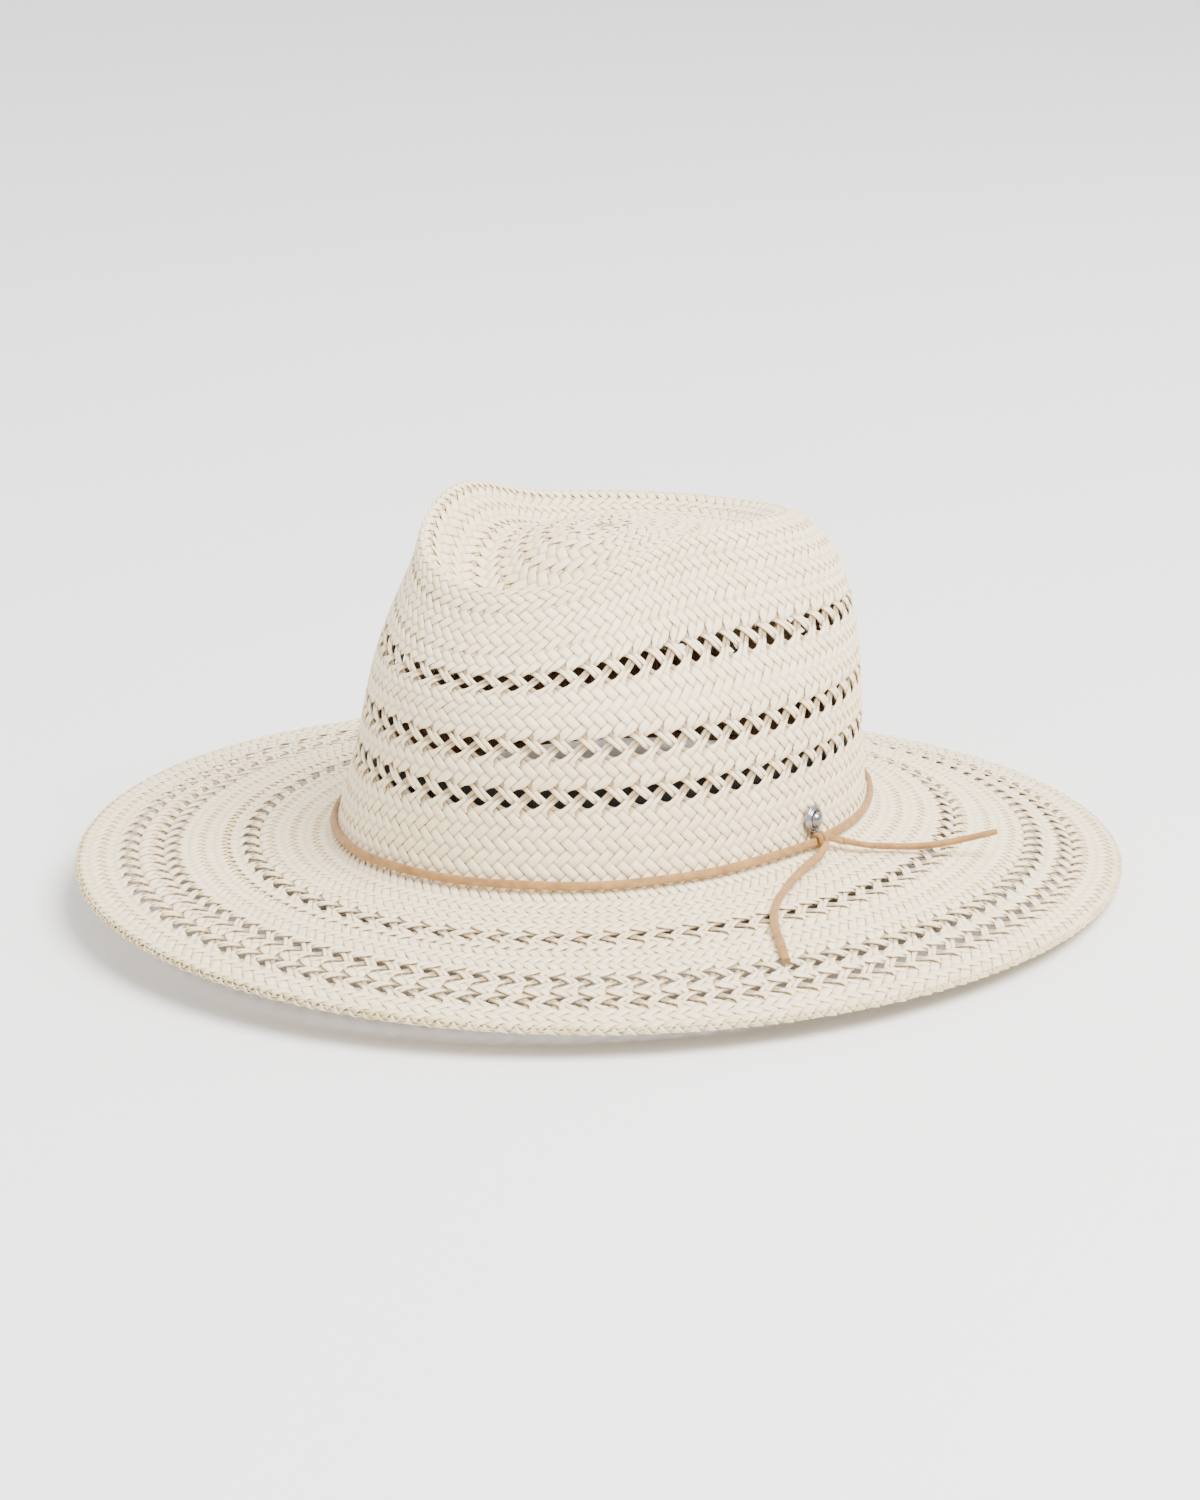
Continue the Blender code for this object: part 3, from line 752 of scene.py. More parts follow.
def sweep(name, spots, wides, highs, half_width, half_thickness, material, sides=16):
    """Skin of a flat lace along the spots, with rounded edges and cut ends."""
    count = len(spots)
    turn = np.linspace(0.0, 2.0 * math.pi, sides, endpoint=False)
    x = np.sign(np.cos(turn)) * np.abs(np.cos(turn)) ** 0.62
    y = np.sign(np.sin(turn)) * np.abs(np.sin(turn)) ** 0.62
    half_width = np.broadcast_to(np.asarray(half_width, float), count)[:, None, None]
    skin = (spots[:, None] + wides[:, None] * x[None, :, None] * half_width
            + highs[:, None] * y[None, :, None] * half_thickness)
    steps = np.linalg.norm(np.diff(spots, axis=0), axis=1)
    way = np.concatenate([[0.0], np.cumsum(steps)])
    return loft(name, skin, way, np.linspace(0.0, 1.0, sides + 1), 0.5, material)


def turned_skin(name, top, rings, bottom, material):
    """A closed skin from the top point over rings of points to the bottom point."""
    count, sides = len(rings), len(rings[0])
    points = [top] + [spot for one in rings for spot in one] + [bottom]
    faces, corners = [], []
    for j in range(sides):
        m = (j + 1) % sides
        here, there = j / sides, (j + 1) / sides
        faces.append((0, 1 + j, 1 + m))
        corners += [(here, 0.0), (here, 1 / count), (there, 1 / count)]
        for i in range(count - 1):
            low = 1 + i * sides
            faces.append((low + j, low + sides + j, low + sides + m, low + m))
            corners += [(here, (i + 1) / count), (here, (i + 2) / count), (there, (i + 2) / count),
                        (there, (i + 1) / count)]
        low = 1 + (count - 1) * sides
        faces.append((len(points) - 1, low + m, low + j))
        corners += [(here, 1.0)] * 3
    return plain_piece(name, points, faces, corners, material)


def plain_piece(name, points, faces, corners, material):
    """A mesh piece at the origin with one UV map, its faces turned outwards."""
    mesh = bpy.data.meshes.new(name)
    mesh.from_pydata([tuple(map(float, p)) for p in points], [], faces)
    uv = mesh.uv_layers.new(name="way")
    uv.data.foreach_set("uv", np.array(corners, float).ravel())
    work = bmesh.new()
    work.from_mesh(mesh)
    bmesh.ops.recalc_face_normals(work, faces=work.faces)
    work.to_mesh(mesh)
    work.free()
    mesh.shade_smooth()
    mesh.set_sharp_from_angle(angle=math.radians(50))
    mesh.materials.append(material)
    piece = bpy.data.objects.new(name, mesh)
    bpy.context.collection.objects.link(piece)
    return piece


def fit(piece, slot, *nodes):
    """Ties a finished piece to the hat and hides the CAD nodes it stands for."""
    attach(piece, BODY)
    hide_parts(*nodes)
    return piece


def lace_middle(angle):
    """Middle of the lace and its section's two directions, on the crown's base."""
    spot = place_at_height(angle, LACE_HEIGHT)
    face = on_hat(angle, spot)
    out = (on_hat(angle, spot, -0.001) - face).normalized()
    middle = face + out * (LACE_THICKNESS / 2 + FIT_GAP)
    up = (on_hat(angle, spot - 0.02) - face).normalized()
    return middle, out, up


def make_lace_band(leather):
    """The lace round the crown's base; its two ends run into the knot."""
    away = 0.0022 / float(head_radius(math.radians(STUD_ANGLE)))
    angles = np.linspace(math.radians(STUD_ANGLE) + away,
                         math.radians(STUD_ANGLE) + 2.0 * math.pi - away, 320)
    spots, wides, highs = [], [], []
    near = 0.0075 / float(head_radius(math.radians(STUD_ANGLE)))
    coarse = angles[::5].tolist() + [float(angles[-1])]
    sections = []
    for angle in coarse:
        sections.append([(v.x * math.sin(angle) - v.y * math.cos(angle), v.z)
                         for v in lace_middle(angle)])
    sections = np.array(sections)
    for angle in angles:
        middle, out, up = (
            Vector((r * math.sin(angle), -r * math.cos(angle), z))
            for r, z in ((np.interp(angle, coarse, sections[:, k, 0]),
                          np.interp(angle, coarse, sections[:, k, 1])) for k in range(3)))
        to_end = min(angle - angles[0], angles[-1] - angle)
        lifted = max(1.0 - to_end / near, 0.0) ** 2 * 0.0012
        wave = 0.00022 * math.sin(5.0 * angle) + 0.00012 * math.sin(13.0 * angle + 1.0)
        lean = 0.16 * math.sin(3.0 * angle + 0.7)
        spots.append(middle + out * lifted + up * wave)
        wides.append(up * math.cos(lean) + out * math.sin(lean))
        highs.append(out * math.cos(lean) - up * math.sin(lean))
    piece = sweep("lace_round_crown", np.array(spots), np.array(wides), np.array(highs),
                  LACE_WIDTH / 2, LACE_THICKNESS / 2, leather)
    fit(piece, "tan_lace", "lace_band")


def smooth_route(points, spacing):
    """Evenly spaced points on a smooth curve through the route's points."""
    points = [Vector(p) for p in points]
    dense = []
    for i in range(len(points) - 1):
        p0 = points[max(i - 1, 0)]
        p1 = points[i]
        p2 = points[i + 1]
        p3 = points[min(i + 2, len(points) - 1)]
        for k in range(20):
            t = k / 20
            dense.append(0.5 * (2 * p1 + (p2 - p0) * t + (2 * p0 - 5 * p1 + 4 * p2 - p3) * t ** 2
                                + (3 * p1 - p0 - 3 * p2 + p3) * t ** 3))
    dense.append(points[-1])
    dense = np.array(dense)
    way = np.concatenate([[0.0], np.cumsum(np.linalg.norm(np.diff(dense, axis=0), axis=1))])
    count = max(round(way[-1] / spacing), 2)
    wanted = np.linspace(0.0, way[-1], count + 1)
    return np.stack([np.interp(wanted, way, dense[:, k]) for k in range(3)], axis=1)


def tail_spots(points):
    """The tail's points, as far out from the crown's base as they were laid, whatever the head."""
    spots = []
    for x, y, lift in points:
        angle = math.atan2(x, -y)
        laid_radius = 1.0 / math.hypot(math.sin(angle) / (LAID_WIDTH / 2),
                                       math.cos(angle) / (LAID_LENGTH / 2))
        reach = math.hypot(x, y) - laid_radius
        spot = place_at_radius(angle, float(head_radius(angle)) + reach)
        spots.append(on_hat(angle, spot, -lift))
    return spots


def make_tails(leather):
    """The lace's two free ends, flat, with a slow twist and a cut end."""
    for name, points, node, twist in (("lace_end_rear", TAIL_REAR, "lace_tail_rear", 0.5),
                                      ("lace_end_front", TAIL_FRONT, "lace_tail_front", -0.9)):
        spots = smooth_route(tail_spots(points), 0.0010)
        path = smooth_route(tail_spots(points), 0.0026)
        run = unit(np.gradient(spots, axis=0))
        wides = unit(np.cross(run, np.array([0.0, 0.0, 1.0])))
        highs = np.cross(wides, run)
        share = np.linspace(0.0, 1.0, len(spots))[:, None]
        lean = 0.35 + twist * np.sin(share * 2.6)
        turned = wides * np.cos(lean) + highs * np.sin(lean)
        flat = highs * np.cos(lean) - wides * np.sin(lean)
        wide = 0.00147 + 0.00006 * np.sin(share[:, 0] * 31.0)
        piece = sweep(name, spots, turned, flat, wide, 0.00098, leather)
        fit(piece, "tan_lace", node)
        length = float(np.linalg.norm(np.diff(path, axis=0), axis=1).sum())


def make_knot(leather):
    """The overhand knot: one end wraps round the other, and both leave as the free ends."""
    angle = math.radians(STUD_ANGLE)
    middle, out, up = lace_middle(angle)
    along = up.cross(out).normalized()
    centre = middle + out * ((KNOT_DEPTH - LACE_THICKNESS) / 2)

    def spot(a, u, o):
        return centre + along * (a * 0.001) + up * (u * 0.001) + out * (o * 0.001)

    rear = tail_spots(TAIL_REAR)
    front = tail_spots(TAIL_FRONT)
    through = [spot(-3.6, 0.0, -1.3), spot(-1.8, 0.3, -0.5), spot(0.2, 0.3, 0.0), spot(2.3, -0.1, 0.5),
               spot(4.6, -0.6, 1.6), rear[0], rear[0].lerp(rear[1], 0.08)]
    wrap = [spot(3.6, 0.0, -1.3), spot(2.5, 0.9, -1.5)]
    turns = 7
    for i in range(turns + 1):
        turn = math.radians(125.0 - 515.0 * i / turns)
        wrap.append(spot(1.5 - 2.9 * i / turns, 2.0 * math.sin(turn), 1.9 * math.cos(turn)))
    wrap += [spot(-2.3, -1.7, 3.7), front[0], front[0].lerp(front[1], 0.08)]
    pieces = []
    for name, points, wide in (("lace_knot_through", through, up), ("lace_knot_wrap", wrap, along)):
        spots = smooth_route(points, 0.0005)
        wides, highs = carried_frames(spots, wide)
        share = np.linspace(0.0, 1.0, len(spots))
        half = 0.00115 + 0.00018 * share
        pieces.append(sweep(name, spots, wides, highs, half, 0.00085, leather))
    fit(join_pieces("lace_overhand_knot", pieces), "tan_lace", "lace_knot")


def stud_axis():
    """Where the stud's axis meets the crown's outer face, and its outward direction."""
    angle = math.radians(STUD_ANGLE)
    spot = place_at_height(angle, STUD_HEIGHT)
    face = on_hat(angle, spot)
    out = (on_hat(angle, spot, -0.001) - face).normalized()
    return face, out


def make_stud(silver):
    """Turned cap: a dome inside a groove, a raised ring and a stepped rim."""
    face, out = stud_axis()
    side = out.cross(Vector((0.0, 0.0, 1.0))).normalized()
    up = side.cross(out).normalized()
    radius = STUD_DIAMETER / 2
    rise = STUD_RISE
    profile = []
    for i in range(1, 15):
        turn = math.pi / 2 * i / 14
        profile.append((0.40 * rise + 0.60 * rise * math.cos(turn), 0.56 * radius * math.sin(turn)))
    profile += [(0.33 * rise, 0.575), (0.31 * rise, 0.61), (0.36 * rise, 0.635), (0.46 * rise, 0.665),
                (0.50 * rise, 0.70), (0.47 * rise, 0.74), (0.38 * rise, 0.765), (0.34 * rise, 0.79),
                (0.36 * rise, 0.82), (0.38 * rise, 0.87), (0.35 * rise, 0.92), (0.27 * rise, 0.965),
                (0.16 * rise, 0.995), (0.08 * rise, 0.99), (0.02 * rise, 0.95), (0.0, 0.88)]
    profile = [(reach, r if i < 14 else r * radius) for i, (reach, r) in enumerate(profile)]
    turns = [2.0 * math.pi * j / STUD_SIDES for j in range(STUD_SIDES)]
    rings = [[face + out * (SEAT + reach) + side * (r * math.cos(turn)) + up * (r * math.sin(turn))
              for turn in turns] for reach, r in profile]
    fit(turned_skin("stud_turned_cap", face + out * (SEAT + rise), rings, face + out * SEAT, silver),
        "silver", "stud_cap")


class Sweatband:
    """Fast look-up of the sweatband's face, from one table worked out at the start."""

    def __init__(self):
        inward = STRAW_THICKNESS + SWEATBAND_CLEARANCE
        coarse = np.linspace(0.0, 2.0 * math.pi, 73)
        self.angles = np.linspace(0.0, 2.0 * math.pi, 721)
        self.foot, self.head = (
            np.interp(self.angles, coarse,
                      [outline(a, place_at_height(a, height), inward)[0] for a in coarse])
            for height in (0.006, SWEATBAND_HEIGHT))
        x = self.foot * np.sin(self.angles)
        y = -self.foot * np.cos(self.angles)
        self.way = np.concatenate([[0.0], np.cumsum(np.hypot(np.diff(x), np.diff(y)))])
        self.length = float(self.way[-1])

    def points(self, angle, height, inward):
        angle = np.mod(angle, 2.0 * math.pi)
        foot = np.interp(angle, self.angles, self.foot)
        head = np.interp(angle, self.angles, self.head)
        radius = foot + (head - foot) * height / SWEATBAND_HEIGHT - inward
        z = np.broadcast_to(SWEATBAND_FOOT + height + BREAK_HEIGHT, np.shape(radius))
        return np.stack([radius * np.sin(angle), -radius * np.cos(angle), z], axis=-1)


def ribbed_loop(name, band, angles, heights, inner, outer, rib, material, closed):
    """Ribbon with ribs across it between two depths inside the crown; rib is their height."""
    way = np.interp(np.mod(angles, 2.0 * math.pi), band.angles, band.way)
    ribs = np.cos(2.0 * math.pi * way / RIB_SPACING)[:, None]
    level = np.asarray(heights)[None, :]
    share = (level - level[0, 0]) / (level[0, -1] - level[0, 0])
    edge = np.clip(np.minimum(share, 1.0 - share) * 14.0, 0.0, 1.0)
    swell = (1.0 - edge) * 0.00008
    grid_angle = np.broadcast_to(angles[:, None], (len(angles), level.shape[1]))
    near = band.points(grid_angle, level, inner + rib * (ribs - 1.0) * edge + swell)
    far = band.points(grid_angle, level, outer - rib * (ribs - 1.0) * edge)
    skin = np.concatenate([near, far[:, ::-1]], axis=1)
    span = float(level[0, -1] - level[0, 0])
    across = np.concatenate([share[0] * span, (2.0 - share[0, ::-1]) * span, [2.0 * span]])
    along = np.append(way, band.length) if closed else way
    return loft(name, skin, along, across, 0.0, material, closed)


BAND = Sweatband()


def make_sweatband(ribbon):
    """Ribbed ribbon round the inside of the crown's base, with plain selvages."""
    count = 4 * round(BAND.length / RIB_SPACING)
    way = np.linspace(0.0, BAND.length, count, endpoint=False)
    angles = np.interp(way, BAND.way, BAND.angles)
    heights = SWEATBAND_HEIGHT * np.array([0.0, 0.035, 0.07, 0.25, 0.5, 0.75, 0.93, 0.965, 1.0])
    piece = ribbed_loop("sweatband_ribbon", BAND, angles, heights, SWEATBAND_THICKNESS, 0.0,
                        0.00011, ribbon, True)
    fit(piece, "brown_ribbon", "sweatband")


def patch_angles(middle, width, count):
    half = width / 2 / float(head_radius(middle))
    return np.linspace(middle - half, middle + half, count)


def make_join_tape(ribbon):
    """Short ribbed tape over the sweatband's ends, at the back."""
    first = SWEATBAND_THICKNESS + FIT_GAP
    heights = np.linspace(0.006, SWEATBAND_HEIGHT - 0.001, 9)
    piece = ribbed_loop("sweatband_join_tape", BAND, patch_angles(math.pi, JOIN_TAPE_WIDTH, 54), heights,
                        first + JOIN_TAPE_THICKNESS, first, 0.0001, ribbon, False)
    fit(piece, "brown_ribbon", "sweatband_join")


def label_place():
    away = (JOIN_TAPE_WIDTH + LABEL_WIDTH + 0.008) / 2 / float(head_radius(math.pi))
    return math.pi + away, SWEATBAND_HEIGHT - LABEL_HEIGHT - 0.006


def make_label(cloth):
    """Blank woven label beside the join."""
    middle, low = label_place()
    first = SWEATBAND_THICKNESS + FIT_GAP
    heights = np.linspace(low, low + LABEL_HEIGHT, 11)
    piece = ribbed_loop("blank_size_label", BAND, patch_angles(middle, LABEL_WIDTH, 40), heights,
                        first + LABEL_THICKNESS, first, 0.0, cloth, False)
    fit(piece, "label_cloth", "size_label")


def stitch_tree(material):
    """Short threads spaced evenly along the line it is given, each turned a little at random."""
    tree, n, source, target = new_tree("stitch_line", (
        ("Spacing", "Float"), ("Stitch Length", "Float"), ("Thread Diameter", "Float"),
        ("Wobble", "Float"), ("Seed", "Int")))
    inp = source.outputs
    curve = n.add("GeometryNodeMeshToCurve", {"Mesh": inp["Geometry"]})
    dots = n.add("GeometryNodeCurveToPoints", {"Curve": curve.outputs[0], "Length": inp["Spacing"]},
                 mode="LENGTH")
    stitch = n.add("GeometryNodeMeshUVSphere", {"Segments": 8, "Rings": 7, "Radius": 0.5})
    shaped = n.add("GeometryNodeTransform", {"Geometry": stitch.outputs["Mesh"]})
    n.feed(shaped.inputs["Scale"], n.vector(inp["Thread Diameter"], inp["Thread Diameter"],
                                            inp["Stitch Length"]))
    wobble = n.add("FunctionNodeRandomValue", {"Seed": inp["Seed"]}, data_type="FLOAT_VECTOR")
    wobble.inputs[0].default_value = (0.85, 0.85, 0.88)
    wobble.inputs[1].default_value = (1.1, 1.1, 1.06)
    swing = n.add("FunctionNodeRandomValue", {"Seed": n.sum(inp["Seed"], 50.0)},
                  data_type="FLOAT_VECTOR")
    swing.inputs[0].default_value = (-1.0, -1.0, -1.0)
    swung = n.vmath("SCALE", swing.outputs[0], scale=inp["Wobble"])
    swung = n.add("FunctionNodeEulerToRotation", {0: swung})
    turn = n.add("FunctionNodeRotateRotation", {0: dots.outputs["Rotation"], 1: swung.outputs[0]},
                 rotation_space="LOCAL")
    copies = n.add("GeometryNodeInstanceOnPoints", {"Points": dots.outputs["Points"],
                                                    "Instance": shaped.outputs[0],
                                                    "Rotation": turn.outputs[0],
                                                    "Scale": wobble.outputs[0]})
    real = n.add("GeometryNodeRealizeInstances", {"Geometry": copies.outputs[0]})
    smooth = n.add("GeometryNodeSetShadeSmooth", {"Geometry": real.outputs[0]})
    painted = n.add("GeometryNodeSetMaterial", {"Geometry": smooth.outputs[0], "Material": material})
    tree.links.new(painted.outputs[0], target.inputs[0])
    return tree


def line_mesh(name, points, closed):
    mesh = bpy.data.meshes.new(name)
    count = len(points)
    edges = [(i, (i + 1) % count) for i in range(count if closed else count - 1)]
    mesh.from_pydata([tuple(map(float, p)) for p in points], edges, [])
    return mesh


def make_stitches(thread):
    """The thread along the sweatband's foot, and the tacks that hold the tape and the label."""
    tree = stitch_tree(thread)
    inward = SWEATBAND_THICKNESS + FIT_GAP
    angles = np.linspace(0.0, 2.0 * math.pi, 240, endpoint=False)
    foot = line_mesh("foot_line", BAND.points(angles, 0.0028, inward), True)
    lines = [("foot_stitches", foot, 0.0036, 0.0029, THREAD_DIAMETER)]
    middle, low = label_place()
    for what, centre, width, thickness, first, last, count, spacing, length in (
            ("label", middle, LABEL_WIDTH, LABEL_THICKNESS, low + 0.001, low + LABEL_HEIGHT - 0.001, 8,
             0.0018, 0.0014),
            ("join", math.pi, JOIN_TAPE_WIDTH, JOIN_TAPE_THICKNESS, 0.008, SWEATBAND_HEIGHT - 0.003, 12,
             0.0024, 0.0019)):
        half = (width / 2 - 0.0012) / float(head_radius(math.pi))
        levels = np.linspace(first, last, count)
        for word, angle in (("left", centre - half), ("right", centre + half)):
            spots = BAND.points(np.full(count, angle), levels, inward + thickness + 0.0001)
            lines.append((f"{what}_tacks_{word}", line_mesh(f"{what}_line_{word}", spots, False),
                          spacing, length, 0.0004))
    pieces = []
    for number, (name, line, spacing, length, thick) in enumerate(lines):
        values = {"Spacing": spacing, "Stitch Length": length, "Thread Diameter": thick,
                  "Wobble": 0.05, "Seed": number + 1}
        pieces.append(run_tree(tree, name, line, values))
    fit(join_pieces("sweatband_stitches", pieces), "black_thread", "sweatband_thread")


def make_edge_fibres(guide, fibre):
    """Frayed straw ends that stand out of the turned edge all round the brim."""
    tree = stitch_tree(fibre)
    edge = guide.grid[-1]
    inside = guide.grid[-2]
    out = unit(edge - inside)
    pieces = []
    for number, (down, way, spacing, length) in enumerate((
            (0.0004, -0.0004, 0.0032, 0.0050), (0.0016, -0.0001, 0.0047, 0.0062),
            (0.0020, -0.0004, 0.0061, 0.0044))):
        line = edge[:-1] + out[:-1] * way - np.array([0.0, 0.0, down])
        values = {"Spacing": spacing, "Stitch Length": length, "Thread Diameter": 0.00034,
                  "Wobble": 0.28, "Seed": 70 + number}
        pieces.append(run_tree(tree, f"edge_fibres_{number}", line_mesh("edge_line", line, True), values))
    fit(join_pieces("brim_edge_fibres", pieces), "turned_straw", "brim_hem")


def fibre_material():
    """Dry straw ends, olive to straw yellow."""
    material, n, shader = new_material("turned_straw")
    place = n.object_place()
    cloud = n.noise(place, 60.0, detail=2.0)
    fine = n.noise(place, 900.0, detail=2.0)
    share = n.clamp(n.sum(n.times(n.minus(cloud, 0.35), 2.4), n.times(n.minus(fine, 0.5), 0.8)))
    n.feed(shader.inputs["Base Color"], mix_colour(n, share, (0.86, 0.74, 0.50), (0.58, 0.47, 0.18)))
    n.feed(shader.inputs["Roughness"], n.sum(0.5, n.times(fine, 0.25)))
    bump(n, shader, fine, 0.3, 0.00008)
    return material


def make_crown_middle(straw):
    """Low woven disc that closes the weave where the first strands cross, at the crown's middle."""
    turns = [2.0 * math.pi * j / MIDDLE_SIDES for j in range(MIDDLE_SIDES)]
    middle = float(outline(0.0, 0.02)[1])
    rings = []
    for i in range(1, MIDDLE_RINGS + 1):
        share = i / MIDDLE_RINGS
        rings.append([point(turn, MIDDLE_RADIUS * i / MIDDLE_RINGS, middle - 0.0002 - 0.0010 * share ** 2
                            + 0.00012 * math.sin(6.0 * turn + 2.4 * i)) for turn in turns])
    for i in range(MIDDLE_RINGS, 0, -1):
        rings.append([point(turn, MIDDLE_RADIUS * i / MIDDLE_RINGS, middle - 0.0016) for turn in turns])
    piece = turned_skin("crown_straw_middle", point(0.0, 0.0, middle - 0.0002), rings,
                        point(0.0, 0.0, middle - 0.0016), straw)
    mark = piece.data.attributes.new("strand_way", "FLOAT_VECTOR", "POINT")
    values = [((v.co.x * 300.0) % 1.0, v.co.y * 600.0, 0.0) for v in piece.data.vertices]
    mark.data.foreach_set("vector", np.array(values, float).ravel())
    fit(piece, "ivory_straw", "crown")


def lace_material():
    """Natural vegetable-tanned lace: pale tan, darker cut edges, small pores and creases."""
    material, n, shader = new_material("tan_lace")
    along, across, _ = n.split(n.add("ShaderNodeUVMap", uv_map="way").outputs[0])
    place = n.object_place()
    cloud = n.noise(place, 260.0, detail=3.0)
    pores = n.noise(place, 2600.0, detail=2.0)
    grain = n.noise(n.vector(n.times(across, 9.0), n.times(along, 420.0), 0.0), 1.0, detail=3.0)
    turn = n.math("ABSOLUTE", n.math("SINE", n.times(across, 2.0 * math.pi)))
    edge = n.clamp(n.times(n.minus(0.45, turn), 1.6))
    base = mix_colour(n, n.clamp(n.times(n.minus(cloud, 0.3), 2.4)), (0.275, 0.140, 0.040),
                      (0.43, 0.240, 0.078))
    fleck = mix_colour(n, n.clamp(n.times(n.minus(grain, 0.35), 2.0)), (0.78, 0.72, 0.66), (1.0, 1.0, 1.0))
    colour = mix_colour(n, 0.6, base, fleck, "MULTIPLY")
    colour = mix_colour(n, n.times(edge, 0.35), colour, (0.22, 0.105, 0.035))
    n.feed(shader.inputs["Base Color"], colour)
    n.feed(shader.inputs["Roughness"], n.sum(0.52, n.times(pores, 0.25)))
    shader.inputs["Specular IOR Level"].default_value = 0.35
    shader.inputs["Sheen Weight"].default_value = 0.15
    bump(n, shader, n.sum(grain, n.times(pores, 0.6)), 0.5, 0.00015)
    return material


def silver_material():
    """Nickel silver, polished, with fine wear; its colour darkens in cloudy patches, a painted dark
    reflection.
    """
    material, n, shader = new_material("silver")
    place = n.object_place()
    cloud = n.noise(place, 420.0, detail=3.0)
    fine = n.noise(place, 5200.0, detail=2.0)
    # painted dark reflection: the metal's colour drops to near black in cloudy patches
    colour = mix_colour(n, n.clamp(n.times(n.minus(cloud, 0.35), 2.2)), (0.16, 0.16, 0.165),
                        (0.50, 0.50, 0.51))
    n.feed(shader.inputs["Base Color"], colour)
    shader.inputs["Metallic"].default_value = 1.0
    n.feed(shader.inputs["Roughness"], n.sum(0.13, n.times(cloud, 0.14), n.times(fine, 0.05)))
    bump(n, shader, fine, 0.12, 0.00004)
    return material


def ribbon_material():
    """Ribbed ribbon, brown towards the head and black towards the straw."""
    material, n, shader = new_material("brown_ribbon")
    around_way, up, _ = n.split(n.add("ShaderNodeUVMap", uv_map="way").outputs[0])
    rib = n.math("COSINE", n.times(around_way, 2.0 * math.pi / RIB_SPACING))
    weft = n.math("SINE", n.times(up, 2.0 * math.pi / 0.00032))
    cloud = n.noise(n.vector(n.times(around_way, 60.0), n.times(up, 60.0), 0.0), 1.0, detail=2.0)
    share = n.clamp(n.sum(n.times(rib, 0.35), n.times(weft, 0.12), n.times(cloud, 0.5)))
    inner = mix_colour(n, share, (0.13, 0.065, 0.025), (0.30, 0.17, 0.080))
    outer = mix_colour(n, share, (0.006, 0.0055, 0.006), (0.030, 0.028, 0.028))
    hidden = n.math("GREATER_THAN", up, SWEATBAND_HEIGHT)
    n.feed(shader.inputs["Base Color"], mix_colour(n, hidden, inner, outer))
    n.feed(shader.inputs["Roughness"], n.minus(0.78, n.times(n.clamp(rib), 0.2)))
    shader.inputs["Sheen Weight"].default_value = 0.25
    bump(n, shader, n.sum(n.times(rib, 0.5), n.times(weft, 0.4)), 0.4, 0.00008)
    return material


def thread_material():
    """Black polyester thread with a twist."""
    material, n, shader = new_material("black_thread")
    twist = n.math("SINE", n.times(n.sum(*n.split(n.object_place())), 9000.0))
    n.feed(shader.inputs["Base Color"], mix_colour(n, n.clamp(n.sum(0.5, n.times(twist, 0.5))),
                                                   (0.008, 0.008, 0.009), (0.035, 0.034, 0.036)))
    shader.inputs["Roughness"].default_value = 0.5
    bump(n, shader, twist, 0.3, 0.00006)
    return material


def label_material():
    """Off-white satin label, blank, with a fine woven grid."""
    material, n, shader = new_material("label_cloth")
    across, up, _ = n.split(n.add("ShaderNodeUVMap", uv_map="way").outputs[0])
    warp = n.math("SINE", n.times(across, 2.0 * math.pi / 0.00030))
    weft = n.math("SINE", n.times(up, 2.0 * math.pi / 0.00030))
    grid = n.times(warp, weft)
    cloud = n.noise(n.vector(n.times(across, 300.0), n.times(up, 300.0), 0.0), 1.0)
    share = n.clamp(n.sum(n.times(grid, 0.3), cloud))
    n.feed(shader.inputs["Base Color"], mix_colour(n, share, (0.58, 0.55, 0.49), (0.78, 0.76, 0.70)))
    n.feed(shader.inputs["Roughness"], n.sum(0.55, n.times(cloud, 0.2)))
    bump(n, shader, grid, 0.4, 0.00006)
    return material


# ---------------------------------------------------------------- camera and light

CAMERA_AZIMUTH = 46.0
CAMERA_ELEVATION = 17.3
CAMERA_DISTANCE = 1.55
CAMERA_LENS = 102.8
LIGHTS_AIM = (0.0, 0.0, 0.06)
LIGHTS = (                   # name, azimuth, elevation, distance, size, power, colour
    ("key", 97.0, 57.0, 2.2, 1.6, 152.0, (1.0, 0.97, 0.93)),
    ("fill", 10.0, 30.0, 2.6, 1.8, 9.0, (1.0, 1.0, 1.0)),
    ("back", 200.0, 40.0, 2.4, 1.4, 12.0, (1.0, 1.0, 1.0)))
FLOOR_REACH = 30.0


def make_camera():
    azimuth = math.radians(CAMERA_AZIMUTH)
    rise = math.radians(CAMERA_ELEVATION)
    towards = Vector((math.sin(azimuth) * math.cos(rise), -math.cos(azimuth) * math.cos(rise),
                      math.sin(rise)))
    right = Vector((math.cos(azimuth), math.sin(azimuth), 0.0))
    target = Vector((0.0, 0.0, BREAK_HEIGHT + 0.0236)) - 0.0018 * right
    data = bpy.data.cameras.new("camera")
    data.lens = CAMERA_LENS
    data.sensor_width = 36.0
    camera = bpy.data.objects.new("camera", data)
    camera.location = target + towards * CAMERA_DISTANCE
    camera.rotation_euler = (-towards).to_track_quat("-Z", "Y").to_euler()
    bpy.context.collection.objects.link(camera)
    bpy.context.scene.camera = camera


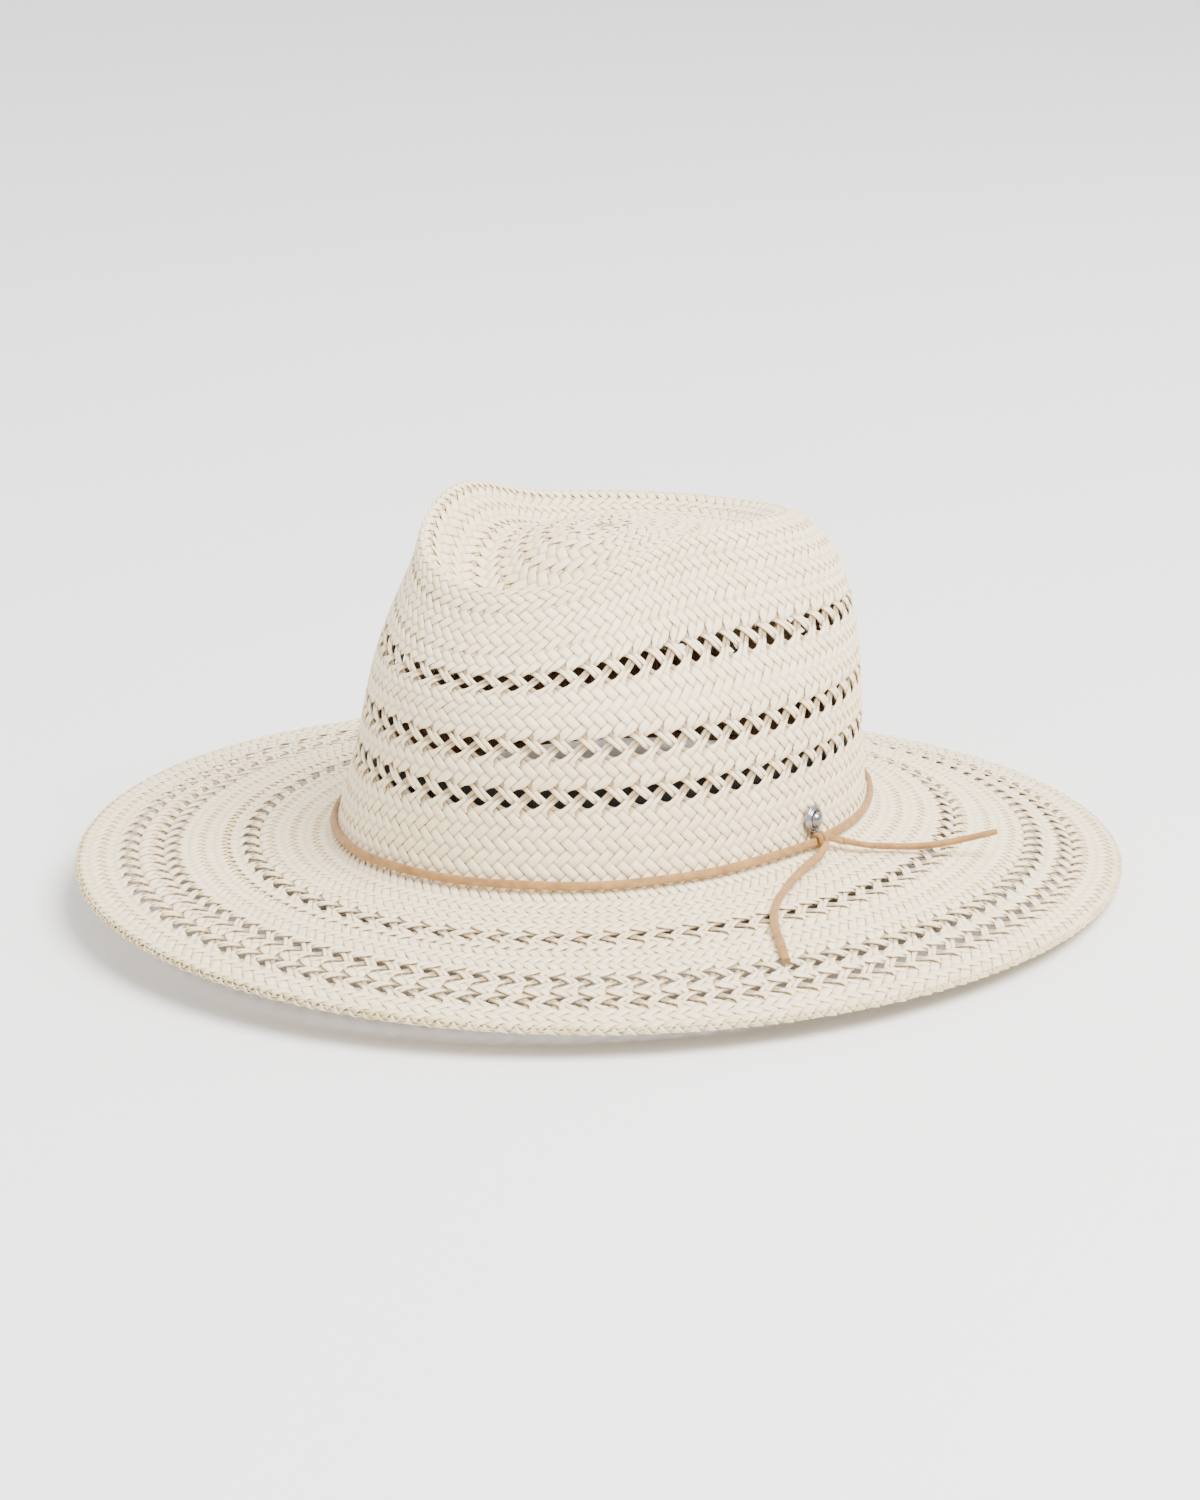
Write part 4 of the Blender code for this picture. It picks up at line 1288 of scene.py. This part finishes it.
def area_light(name, place, size, power, colour):
    data = bpy.data.lights.new(name, "AREA")
    data.shape = "DISK"
    data.size = size
    data.energy = power
    data.color = colour
    lamp = bpy.data.objects.new(name, data)
    lamp.location = place
    lamp.rotation_euler = (Vector(LIGHTS_AIM) - Vector(place)).to_track_quat("-Z", "Y").to_euler()
    bpy.context.collection.objects.link(lamp)


def around(azimuth, elevation, distance):
    a = math.radians(azimuth)
    e = math.radians(elevation)
    return (math.sin(a) * math.cos(e) * distance, -math.cos(a) * math.cos(e) * distance,
            math.sin(e) * distance + 0.05)


def make_studio():
    """Plain pale floor, pale surroundings and three soft lights, the key from the wearer's left."""
    material, n, shader = new_material("studio_paper")
    grain = n.noise(n.object_place(), 3.0, detail=2.0)
    n.feed(shader.inputs["Base Color"], mix_colour(n, grain, (0.86, 0.86, 0.86), (0.90, 0.90, 0.90)))
    shader.inputs["Roughness"].default_value = 0.9
    mesh = bpy.data.meshes.new("floor")
    mesh.from_pydata([(FLOOR_REACH * x, FLOOR_REACH * y, 0)
                      for x, y in ((-1, -1), (1, -1), (1, 1), (-1, 1))], [], [(0, 1, 2, 3)])
    floor = bpy.data.objects.new("floor", mesh)
    mesh.materials.append(material)
    bpy.context.collection.objects.link(floor)
    world = bpy.data.worlds.new("studio")
    world.use_nodes = True
    background = world.node_tree.nodes["Background"]
    background.inputs["Color"].default_value = (0.90, 0.90, 0.91, 1.0)
    background.inputs["Strength"].default_value = 1.72
    bpy.context.scene.world = world
    for name, azimuth, elevation, distance, size, power, colour in LIGHTS:
        area_light(name, around(azimuth, elevation, distance), size, power, colour)


# ---------------------------------------------------------------- main

def main():
    make_camera()
    make_studio()
    guide = Guide()
    straw = straw_material()
    make_weave(guide, straw)
    make_crown_middle(straw)
    make_edge_fibres(guide, fibre_material())
    leather = lace_material()
    silver = silver_material()
    ribbon = ribbon_material()
    thread = thread_material()
    make_lace_band(leather)
    make_knot(leather)
    make_tails(leather)
    make_stud(silver)
    make_sweatband(ribbon)
    make_join_tape(ribbon)
    make_label(label_material())
    make_stitches(thread)
    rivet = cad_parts["stud_rivet"]
    for number in range(len(rivet.material_slots)):
        rivet.material_slots[number].material = silver


main()
